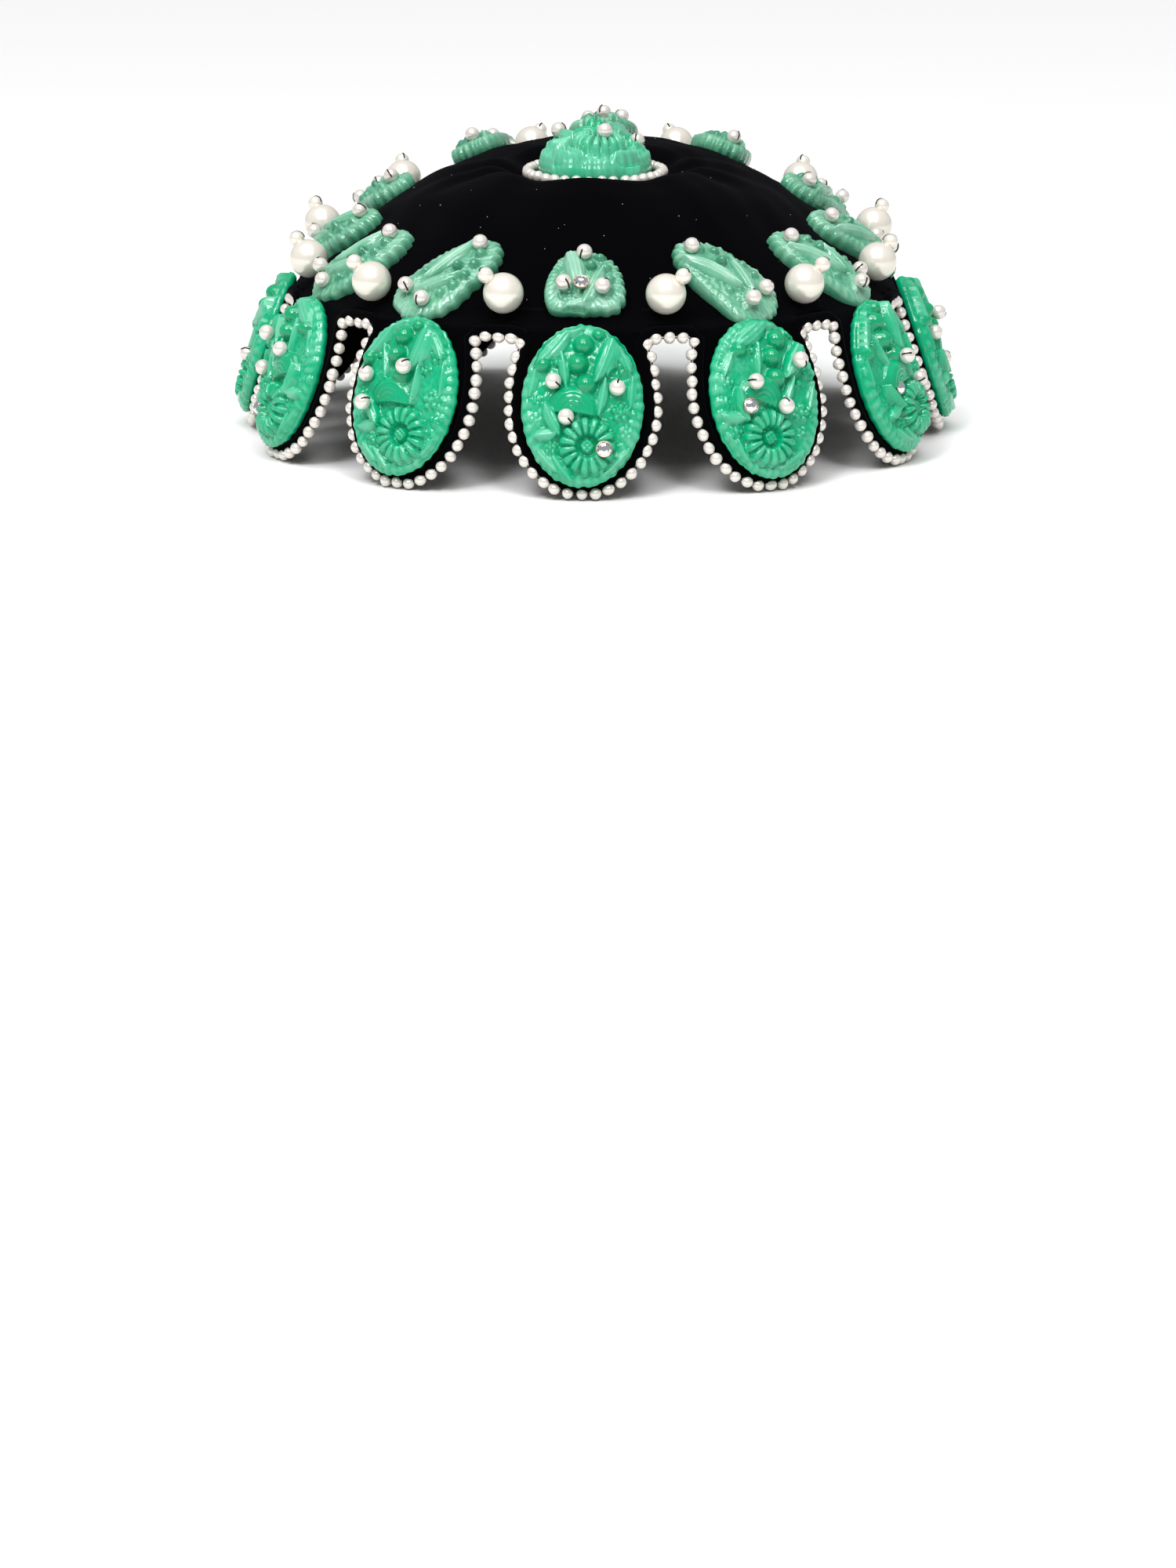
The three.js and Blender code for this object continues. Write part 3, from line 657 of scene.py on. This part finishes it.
def table_outline(table):
    """An outline through a table's places, as a function of the angle, with small lumps along it."""
    corners = np.array(table)
    angles = np.arctan2(corners[:, 1], corners[:, 0])
    radii = np.hypot(corners[:, 0], corners[:, 1])
    order = np.argsort(angles)
    angles = angles[order]
    radii = radii[order]

    def outline(theta):
        total = 0
        for shift in (-0.1, -0.05, 0, 0.05, 0.1):
            total = total + np.interp(wrapped(theta + shift), angles, radii, period=2 * math.pi) / 5
        total = total * (1 + 0.022 * np.cos(24 * theta) * (1 + np.cos(theta - 0.5)))
        return np.stack([np.cos(theta) * total, np.sin(theta) * total], axis=1)

    return outline


Mould = namedtuple("Mould", "outline width length rings sectors base swell forms")
PLAQUE_MOULD = Mould(
    outline=oval_outline,
    width=PLAQUE_WIDTH,
    length=PLAQUE_LENGTH,
    rings=58,
    sectors=220,
    base=PLAQUE_BASE,
    swell=PLAQUE_SWELL,
    forms=PLAQUE_FORMS,
)
LEAF_MOULD = Mould(
    outline=table_outline(LEAF_OUTLINE),
    width=LEAF_WIDTH,
    length=LEAF_LENGTH,
    rings=44,
    sectors=144,
    base=LEAF_BASE,
    swell=LEAF_SWELL,
    forms=LEAF_FORMS,
)
FAN_MOULD = LEAF_MOULD._replace(outline=table_outline(FAN_OUTLINE), width=FAN_WIDTH, length=FAN_HEIGHT)


def relief(mould, x, y, rho, theta, tilt, flip):
    """Height and tone of a moulded face at these places, where rho is 0 in the middle and 1 at the edge."""
    flutes = fluted(theta) * (0.4 + 0.6 * np.abs(np.cos(theta)))
    rim_band = smooth(0.74, 0.86, rho) * (1 - smooth(0.97, 1.0, rho))
    ground = 0.1 * np.sin(x * 2.3 + 1.1 * np.sin(y * 1.7)) * np.sin(y * 2.1 + 1.3 * np.sin(x * 1.9))
    height = mould.swell * np.sqrt(np.clip(1 - rho**2, 0, 1)) + RIM_LEVEL + ground
    height = height + rim_band * (0.16 * flutes + 0.15)
    height = height * (1 - smooth(0.955, 1.0, rho) * 0.92)
    # The rim band is paler glass. The tone also follows the flutes and the ground's ripples, darker in
    # their hollows and paler on their ridges: painted shade and light.
    tone = 0.4 + 0.16 * rim_band + 0.14 * flutes * rim_band + 0.8 * ground
    c, s = math.cos(tilt), math.sin(tilt)
    turned_x = (x * c + y * s) * flip
    turned_y = y * c - x * s
    for kind, form_x, form_y, size, length, turn, rise, form_tone in mould.forms:
        top = rise * RELIEF_DEPTH
        form = FORMS[kind](turned_x - form_x, turned_y - form_y, size, length, turn, top)
        form = form * (1 - smooth(0.93, 1.0, rho))
        raised = mould.swell * 0.6 * (1 - rho**2) + form
        wins = smooth(0.0, 0.3, raised - height) * (form > 0.05)
        # Each form keeps its own tone at its crest and is darker towards its foot: painted light and
        # painted shade over the glass's own colour.
        crest = np.clip(form / top, 0, 1.1)
        tone = tone * (1 - wins) + wins * (form_tone * (0.5 + 0.5 * crest**2))
        height = np.where(wins > 0, np.maximum(height, raised), height)
        # The groove round each form is cut into the face and is also darkened in tone: painted shade in the
        # groove.
        moat = np.exp(-(((form - 0.12) / 0.25) ** 2)) * (form > 0.01) * (wins < 0.5)
        tone = tone - MOAT_PAINTED_SHADE * moat
        height = height - MOAT_DEPTH * moat
    return height, tone


def moulded(mould, tilt=0.0, flip=1, stretch=1.0):
    """A flat-backed moulded piece with its relief: places, faces and tones."""
    rings, sectors = mould.rings, mould.sectors
    half_width, half_length = mould.width / 2, mould.length / 2
    theta = np.arange(sectors) / sectors * 2 * math.pi
    edge = mould.outline(theta)
    steps = np.linspace(0, 1, rings + 1)[1:]
    shares = np.sin(steps * math.pi / 2) * 0.3 + steps * 0.7
    rho, around = np.meshgrid(shares, theta, indexing="ij")
    x = rho * edge[None, :, 0] * half_width
    y = rho * edge[None, :, 1] * half_length
    height, tone = relief(mould, x, y, rho, around, tilt, flip)
    middle = np.zeros(1)
    middle_height, middle_tone = relief(mould, middle, middle, middle, middle, tilt, flip)
    face = np.stack([x, y, (mould.base + height) * stretch], axis=-1).reshape(-1, 3)
    skirt = []
    for share, level in SKIRT:
        skirt_x = edge[:, 0] * half_width * share
        skirt_y = edge[:, 1] * half_length * share
        skirt.append(np.stack([skirt_x, skirt_y, np.full(sectors, mould.base * level)], axis=-1))
    summit = [[0, 0, (mould.base + middle_height[0]) * stretch]]
    points = np.concatenate([summit, face, *skirt, [[0, 0, 0]]])
    tones = np.concatenate([middle_tone, tone.ravel(), np.full(len(SKIRT) * sectors + 1, RIM_TONE)])
    return points, moulded_faces(rings + len(SKIRT), sectors), tones


def moulded_faces(rows, sectors):
    """Faces of rows of places round an axis, with one place on it before them and one after."""
    faces = []
    last_place = 1 + rows * sectors
    last_row = last_place - sectors
    for i in range(sectors):
        j = (i + 1) % sectors
        faces.append((0, 1 + i, 1 + j))
        faces.append((last_place, last_row + j, last_row + i))
    here = np.arange(sectors)
    after = (here + 1) % sectors
    for row in range(rows - 1):
        a = 1 + row * sectors
        b = a + sectors
        faces.extend(np.stack([a + here, b + here, b + after, a + after], axis=1).tolist())
    return faces


def draped(points):
    """A leaf's places bent to the crown's curve, its back sunk into the pile."""
    lower = points.copy()
    lower[:, 2] -= (points[:, 0] ** 2 + points[:, 1] ** 2) / (2 * LEAF_BEND)
    lower[:, 2] -= LEAF_SINK * (1 - np.clip(points[:, 2] / LEAF_BASE, 0, 1))
    return lower


# Materials
def principled(name, colour, **values):
    """A material with these values on its shader's sockets, named with _ for each space."""
    material = bpy.data.materials.new(name)
    material.use_nodes = True
    shader = material.node_tree.nodes["Principled BSDF"]
    shader.inputs["Base Color"].default_value = (*colour, 1)
    for key, value in values.items():
        shader.inputs[key.replace("_", " ")].default_value = value
    return material


def glass_material(name, colours, mottle_scale):
    """Moulded glass whose colour follows the relief's tone, clouded by noise."""
    deep, middle, pale = colours
    material = principled(
        name,
        middle,
        Roughness=0.1,
        Subsurface_Weight=0.35,
        Subsurface_Radius=(0.4, 1.0, 0.6),
        Subsurface_Scale=0.002,
        IOR=1.52,
    )
    nodes, links = material.node_tree.nodes, material.node_tree.links
    tone = nodes.new("ShaderNodeVertexColor")
    tone.layer_name = "tone"
    place = nodes.new("ShaderNodeTexCoord")
    cloud = nodes.new("ShaderNodeTexNoise")
    cloud.inputs["Scale"].default_value = mottle_scale
    cloud.inputs["Detail"].default_value = 5
    links.new(place.outputs["Object"], cloud.inputs["Vector"])
    spread = nodes.new("ShaderNodeMath")
    spread.operation = "MULTIPLY_ADD"
    spread.inputs[1].default_value = 0.9
    spread.inputs[2].default_value = -0.45
    links.new(cloud.outputs["Fac"], spread.inputs[0])
    clouded = nodes.new("ShaderNodeMath")
    clouded.operation = "ADD"
    links.new(tone.outputs["Color"], clouded.inputs[0])
    links.new(spread.outputs[0], clouded.inputs[1])
    ramp = nodes.new("ShaderNodeValToRGB")
    stops = ramp.color_ramp.elements
    stops[0].position = 0.1
    stops[0].color = (*deep, 1)
    stops[1].position = 0.85
    stops[1].color = (*pale, 1)
    stops.new(0.42).color = (*middle, 1)
    links.new(clouded.outputs[0], ramp.inputs["Fac"])
    shader = nodes["Principled BSDF"]
    links.new(ramp.outputs["Color"], shader.inputs["Base Color"])
    return material


velvet = principled(
    "velvet",
    VELVET_BLACK,
    Roughness=1.0,
    Sheen_Weight=0.022,
    Sheen_Roughness=0.45,
    Sheen_Tint=(0.5, 0.5, 0.6, 1),
    Specular_IOR_Level=0.02,
)
jade = glass_material("jade_glass", JADE, 120)
pale_jade = glass_material("pale_jade_glass", PALE_JADE, 150)
cream_pearl = principled("cream_pearl", CREAM, Roughness=0.24, Metallic=0.35, Coat_Weight=0.3)
silver_pearl = principled("silver_pearl", SILVER, Roughness=0.22, Metallic=0.4)
thread = principled("black_thread", THREAD_BLACK, Roughness=0.7)
copper = principled("copper_cup", COPPER, Roughness=0.3, Metallic=1.0)
crystal = principled("crystal", CRYSTAL, Roughness=0.03, Metallic=1.0)
lint = principled("lint", LINT_GREY, Roughness=0.9)


# Cloth
def even_mesh(node):
    """A copy of a CAD node's mesh, in the frame, with small even faces."""
    source = bpy.data.objects.new("velvet_cap", node.data.copy())
    bpy.context.scene.collection.objects.link(source)
    source.matrix_world = node.matrix_world.copy()
    remesh = source.modifiers.new("even", "REMESH")
    remesh.mode = "VOXEL"
    remesh.voxel_size = VOXEL * MM
    soften = source.modifiers.new("soften", "SMOOTH")
    soften.iterations = SOFTEN_TIMES
    soften.factor = SOFTEN_SHARE
    bpy.context.view_layer.update()
    evaluated = source.evaluated_get(bpy.context.evaluated_depsgraph_get())
    mesh = bpy.data.meshes.new_from_object(evaluated)
    bpy.data.objects.remove(source)
    mesh.transform(node.matrix_world)
    mesh.materials.clear()
    return mesh


def vertex_values(mesh, name):
    values = np.empty(len(mesh.vertices) * 3)
    mesh.vertices.foreach_get(name, values)
    return values.reshape(-1, 3)


def velvet_cap(node):
    """The CAD cap with even faces, its crown laid on the smooth form with its creases."""
    mesh = even_mesh(node)
    places = vertex_values(mesh, "co") / MM
    normals = vertex_values(mesh, "normal")
    azimuth = np.arctan2(places[:, 0], -places[:, 1])
    seen_radius = np.hypot(places[:, 0], places[:, 1])
    radius = seen_radius.copy()
    for _ in range(8):
        radius = seen_radius / squeeze(azimuth, radius)
    outer = smooth(-0.05, 0.3, normals[:, 2]) * (1 - smooth(0.9, 0.97, radius / CROWN_RADIUS))
    outer = outer * smooth(CROWN_FOOT, CROWN_FOOT + CROWN_MARGIN, places[:, 2])
    rise = crown_height(azimuth, radius) - places[:, 2]
    places[:, 2] += outer * np.clip(rise, -CROWN_SHIFT, CROWN_SHIFT)
    wave = np.sin(places[:, 0] * 0.21 + 1.3) * np.sin(places[:, 1] * 0.17 + 0.4) * BROAD_WAVE
    wave += np.sin(places[:, 0] * 0.43 + places[:, 1] * 0.31) * FINE_WAVE
    places += normals * (wave * outer)[:, None]
    mesh.vertices.foreach_set("co", (places * MM).ravel())
    mesh.update()
    dress(mesh, "velvet_cap", velvet, ("cap",))


def edge_side():
    """One side of a tab's line of pearls, from its lowest place up to the notch, as u and v."""
    side = []
    for a in np.linspace(0, math.pi / 2, OVAL_STEPS)[1:]:
        side.append((EDGE_WIDTH * math.sin(a), -EDGE_LENGTH * math.cos(a)))
    for v in np.linspace(0, NOTCH_TOP - NOTCH_CORNER, NECK_STEPS)[1:]:
        side.append((EDGE_WIDTH - (EDGE_WIDTH - NECK_WIDTH / 2) * (v / NOTCH_TOP) ** 2, v))
    for a in np.linspace(0, math.pi / 2, CORNER_STEPS)[1:]:
        u = NECK_WIDTH / 2 + NOTCH_CORNER * (1 - math.cos(a))
        side.append((u, NOTCH_TOP - NOTCH_CORNER + NOTCH_CORNER * math.sin(a)))
    return side


def rim_line():
    """The closed line of small pearls round all tabs, in the middle of the wall."""
    side = edge_side()
    line = []
    for i in range(TAB_COUNT):
        line.append(on_tab(i, 0, -EDGE_LENGTH, -WALL / 2))
        line += [on_tab(i, u, v, -WALL / 2) for u, v in side]
        line += [on_tab(i + 1, -u, v, -WALL / 2) for u, v in reversed(side)]
    return np.array(line)


def drawn_in(line, inset):
    """A closed line on the tabs moved by inset towards the cloth, square to its run and to their face."""
    faces_out = line * (1, 1, 0)
    faces_out = faces_out / np.linalg.norm(faces_out, axis=1)[:, None] * math.cos(TAB_LEAN)
    faces_out[:, 2] = math.sin(TAB_LEAN)
    runs = np.roll(line, -1, axis=0) - np.roll(line, 1, axis=0)
    inner = np.cross(faces_out, runs)
    return line + inset * inner / np.linalg.norm(inner, axis=1)[:, None]


def notch_band(i):
    """The cloth turned down over the notch after tab i, from its rolled edge up on to the crown."""
    azimuth = (i + 0.5) * PITCH
    out = outward(azimuth)
    front = on_tab(i, NECK_WIDTH / 2 + NOTCH_CORNER, NOTCH_TOP, -WALL / 2) @ out
    start = NOTCH_TOP + BAND_START
    height = PLAQUE_HEIGHT + start * math.cos(TAB_LEAN)
    points = []
    for depth in BAND_DEPTHS:
        for share in np.linspace(-1, 1, BAND_COLUMNS):
            at = azimuth + share * BAND_SPAN
            off = outward(at) * math.cos(TAB_LEAN) + np.array([0, 0, math.sin(TAB_LEAN)])
            radius = (TAB_RADIUS - start * math.sin(TAB_LEAN)) / math.cos(from_tab(at))
            column = [outward(at) * radius + np.array([0, 0, height]) - off * depth]
            for reach in np.linspace(0, BAND_REACH, BAND_ROWS - 1):
                column.append(crown_frame(at, CROWN_RADIUS - reach, -depth)[:3, 3])
            points += [place - out * max(0, place @ out - front + depth) for place in column]
    return np.array(points), slab_faces(BAND_COLUMNS, BAND_ROWS)


# Pearls and stones
def string_pearls(line, rng):
    """Frames for small pearls along a closed line, each with its thread's run as its own z axis."""
    places, runs = evenly_spaced(line, EDGE_PITCH)
    frames = []
    for place, run in zip(places, runs):
        side = unit(np.cross(run, rng.normal(size=3)))
        size = 1 + rng.normal() * PEARL_SIZES
        length = 1 + rng.normal() * PEARL_LENGTHS
        jitter = rng.normal(size=3) * PEARL_JITTER
        frames.append(framed(side * size, np.cross(run, side) * size, run * length, place + jitter))
    return frames


def string_thread(line):
    """The thread through small pearls on a closed line, and the places it passes."""
    places, _ = evenly_spaced(line, EDGE_PITCH / 2)
    return tube(places, THREAD / 2, closed=True), places


def ring_points(rings, sides):
    """Places of level rings: radius, height and turn in shares of a side."""
    turns = np.arange(sides) / sides * 2 * math.pi
    points = []
    for radius, height, shift in rings:
        for turn in turns + shift * turns[1]:
            points.append((radius * math.cos(turn), radius * math.sin(turn), height))
    return points


def cut_stone():
    """A cut stone, standing in its cup on z = 0."""
    sides = STONE_SIDES
    points = ring_points(STONE_RINGS, sides) + [(0, 0, STONE_TABLE), (0, 0, STONE_POINT)]
    table, point = len(points) - 2, len(points) - 1
    faces = []
    for upper in range(sides):
        after = (upper + 1) % sides
        faces += [(table, upper, after), (point, 2 * sides + after, 2 * sides + upper)]
        faces += [(upper, sides + after, after), (upper, sides + upper, sides + after)]
        faces += [(sides + after, 2 * sides + upper, 2 * sides + after)]
        faces += [(sides + upper, 2 * sides + upper, sides + after)]
    return np.array(points), np.array(faces)


def stone_cup():
    """The open cup round a cut stone, standing on z = 0."""
    rows = len(CUP_RINGS)
    return np.array(ring_points(CUP_RINGS, CUP_SIDES)), np.array(wound(rows - 1, CUP_SIDES, rows))


def thread_over(pearl, diameter, out, up, arc):
    """The thread over a pearl: its angles in arc go from the direction out towards up."""
    line = [diameter / 2 * (math.cos(t) * out + math.sin(t) * up) for t in arc]
    return tube(moved(pearl, line), THREAD / 2)


def sew(sewn, on, points, jewels, rng):
    """Adds the frames of pearls and stones on a moulded face, and the threads over the pearls."""
    lying = framed((1, 0, 0), (0, 0, 1), (0, -1, 0), (0, 0, 0))
    for kind, x, y in jewels:
        nearest = np.argsort(np.hypot(points[:, 0] - x, points[:, 1] - y))[:6]
        spot = on @ shifted(x, y, float(np.max(points[nearest, 2])) - JEWEL_SINK)
        if kind == "stone":
            sewn["stones"].append(spot)
            continue
        pearl = spot @ shifted(0, 0, SEWN_PEARL * SEWN_SEAT)
        sewn["pearls"].append(pearl @ turned_z(rng.uniform(0, RANDOM_TURN)) @ lying)
        turn = rng.uniform(0, RANDOM_TURN)
        out = np.array([math.cos(turn), math.sin(turn), 0])
        sewn["threads"].append(thread_over(pearl, SEWN_PEARL, out, np.array([0, 0, 1]), SEWN_ARC))


# Pieces
def add_tab_plaques(sewn, rng):
    for i in range(TAB_COUNT):
        flip = -1 if i in MIRRORED_TABS else 1
        points, faces, tones = moulded(PLAQUE_MOULD, math.radians(TAB_TILTS[i]), flip)
        on = tab_frame(i, GAP)
        name = f"tab_plaque_{i + 1}"
        make(name + "_glass", moved(on, points), faces, jade, "jade_glass", (name,), tones)
        sew(sewn, on, points, TAB_JEWELS[i], rng)


def add_crown_leaves(sewn, rng):
    """Leaves above the tabs, their tips towards the front, and fans at the front and the back."""
    for i in range(TAB_COUNT):
        azimuth = float(wrapped(i * PITCH))
        fan = i % (TAB_COUNT // 2) == 0
        on = crown_frame(azimuth, CROWN_RADIUS - LEAF_INSET, LEAF_GAP)
        if not fan:
            on = on @ turned_z(LEAF_SLANT if azimuth > 0 else -LEAF_SLANT)
        points, faces, tones = moulded(FAN_MOULD if fan else LEAF_MOULD, rng.normal() * LEAF_TILT)
        points = draped(points)
        name = f"crown_leaf_{i + 1}"
        make(name + "_glass", moved(on, points), faces, pale_jade, "pale_jade_glass", (name,), tones)
        sew(sewn, on, points, FAN_JEWELS if fan else LEAF_JEWELS, rng)


def add_large_pearls(sewn, stop_bead):
    """Large pearls between the tabs, each held by a small pearl on its thread."""
    large_points, large_faces = sphere(LARGE_PEARL, sides=40, rows=24)
    stop_points, stop_faces = stop_bead
    for i in range(TAB_COUNT):
        azimuth = float(wrapped((i + 0.5) * PITCH))
        on = crown_frame(azimuth, CROWN_RADIUS - PEARL_INSET, PEARL_GAP)
        large = on @ shifted(0, 0, LARGE_PEARL / 2)
        turn = STOP_TURN if azimuth > 0 else -STOP_TURN
        way = np.array([math.sin(turn), 0, math.cos(turn)])
        stop = large @ shifted(*way * ((LARGE_PEARL + STOP_PEARL) / 2 - 2 * GAP))
        pair = joined([(moved(large, large_points), large_faces), (moved(stop, stop_points), stop_faces)])
        name = f"large_pearl_{i + 1}"
        make(name + "_lustre", *pair, cream_pearl, "large_pearl", (name,))
        sewn["threads"].append(thread_over(stop, STOP_PEARL, way, np.array([0, 1, 0]), STOP_ARC))


def add_top_plaque(sewn, rng):
    points, faces, tones = moulded(PLAQUE_MOULD, stretch=TOP_PLAQUE_STRETCH)
    on = shifted(0, 0, DIMPLE_FLOOR + GAP)
    tones = tones + TOP_PLAQUE_TONE
    make("top_plaque_glass", moved(on, points), faces, jade, "jade_glass", ("top_plaque",), tones)
    sew(sewn, on, points, TOP_JEWELS, rng)


def add_rim(bead, rng):
    """Small pearls and their thread round the tabs, the rolled edge and the turned cloth."""
    line = rim_line()
    frames = string_pearls(line, rng)
    for pearl in frames:
        pearl[2, 3] = max(pearl[2, 3], LOWEST_PEARL)
    replaced = ("rim_pearls_right", "rim_pearls_left")
    make("rim_pearls", *copies(bead, frames), silver_pearl, "small_pearl", replaced)
    strand, places = string_thread(line)
    make("rim_thread", *strand, thread, "velvet")
    make("rolled_edge", *tube(drawn_in(places, ROLL_INSET), ROLL / 2, 8, closed=True), velvet, "velvet")
    make("notch_bands", *joined([notch_band(i) for i in range(TAB_COUNT)]), velvet, "velvet")


def add_top_ring(bead, rng):
    """Small pearls and their thread round the top plaque."""
    turn = np.linspace(0, 2 * math.pi, RING_STEPS, endpoint=False)
    height = np.full(RING_STEPS, DIMPLE_FLOOR + GAP + EDGE_PEARL / 2)
    line = np.stack([EDGE_WIDTH * np.cos(turn), RING_LENGTH * np.sin(turn), height], axis=1)
    pearls = copies(bead, string_pearls(line, rng))
    make("top_pearls_ring", *pearls, silver_pearl, "small_pearl", ("top_pearls",))
    strand, _ = string_thread(line)
    make("top_thread", *strand, thread, "velvet")


def add_sewn(sewn, bead):
    make("sewn_pearls", *copies(bead, sewn["pearls"]), silver_pearl, "small_pearl")
    make("sewing_thread", *joined(sewn["threads"]), thread, "velvet")
    make("cut_stones", *copies(cut_stone(), sewn["stones"]), crystal, "small_pearl", shade_smooth=False)
    make("stone_cups", *copies(stone_cup(), sewn["stones"]), copper, "small_pearl")


def add_lint(rng):
    inner, outer = LINT_RADII
    specks = []
    for _ in range(LINT_COUNT):
        azimuth = rng.uniform(-math.pi, math.pi)
        radius = math.sqrt(rng.uniform(inner**2, outer**2))
        spot = crown_frame(azimuth, radius, LINT_LIFT) @ turned_z(rng.uniform(0, RANDOM_TURN / 2))
        specks.append(spot @ np.diag([rng.uniform(*LINT_STRETCH), 1, 1, 1]))
    make("lint", *copies(sphere(LINT_THICKNESS, sides=6, rows=4), specks), lint, "velvet")


def build(frame):
    """Every piece, in the order in which they draw on the one random source."""
    rng = np.random.default_rng(SEED)
    sewn = {"pearls": [], "threads": [], "stones": []}
    sewn_bead = sphere(SEWN_PEARL, sides=20, rows=12)
    edge_bead = sphere(EDGE_PEARL, sides=14, rows=8)
    velvet_cap(frame["nodes"]["cap"])
    add_tab_plaques(sewn, rng)
    add_crown_leaves(sewn, rng)
    add_large_pearls(sewn, sewn_bead)
    add_top_plaque(sewn, rng)
    add_rim(edge_bead, rng)
    add_top_ring(edge_bead, rng)
    add_sewn(sewn, sewn_bead)
    add_lint(rng)


# Floor, light and camera
def link(name, data):
    thing = bpy.data.objects.new(name, data)
    bpy.context.scene.collection.objects.link(thing)
    return thing


def add_floor():
    mesh = bpy.data.meshes.new("floor")
    r = FLOOR_REACH
    mesh.from_pydata([(-r, -r, 0), (r, -r, 0), (r, r, 0), (-r, r, 0)], [], [(0, 1, 2, 3)])
    mesh.materials.append(principled("floor", FLOOR_GREY, Roughness=0.75))
    floor = link("floor", mesh)
    floor.location.z = -FLOOR_DROP


def add_lights():
    world = bpy.data.worlds.new("studio")
    world.use_nodes = True
    background = world.node_tree.nodes["Background"]
    background.inputs["Color"].default_value = (1, 1, 1, 1)
    background.inputs["Strength"].default_value = WORLD_STRENGTH
    bpy.context.scene.world = world
    for name, place, size, power in LIGHTS:
        data = bpy.data.lights.new(name, "AREA")
        data.shape = "RECTANGLE"
        data.size, data.size_y = size
        data.energy = power
        light = link(name, data)
        light.location = place
        light.rotation_euler = (Vector(LIGHT_AIM) - Vector(place)).to_track_quat("-Z", "Y").to_euler()
    sun = bpy.data.lights.new("overhead", "SUN")
    sun.energy = SUN_STRENGTH
    sun.angle = math.radians(SUN_SPREAD)
    link("overhead", sun).rotation_euler = (math.radians(SUN_TURN[0]), math.radians(SUN_TURN[1]), 0)


def add_camera():
    data = bpy.data.cameras.new("camera")
    data.lens = CAMERA_LENS
    data.sensor_width = 36
    data.clip_end = 100
    camera = link("camera", data)
    camera.location = CAMERA_PLACE
    camera.rotation_euler = (math.radians(90 - CAMERA_PITCH), 0, math.radians(CAMERA_TURN))
    bpy.context.scene.camera = camera
    bpy.context.scene.view_settings.view_transform = "Standard"


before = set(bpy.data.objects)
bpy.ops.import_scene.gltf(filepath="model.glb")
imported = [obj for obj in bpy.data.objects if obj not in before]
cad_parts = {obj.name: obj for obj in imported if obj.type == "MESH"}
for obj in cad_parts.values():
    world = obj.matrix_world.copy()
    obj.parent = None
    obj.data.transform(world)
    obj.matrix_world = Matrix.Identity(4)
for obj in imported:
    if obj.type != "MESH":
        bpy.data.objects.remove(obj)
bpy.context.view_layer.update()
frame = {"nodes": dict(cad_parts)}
build(frame)
add_floor()
add_lights()
add_camera()
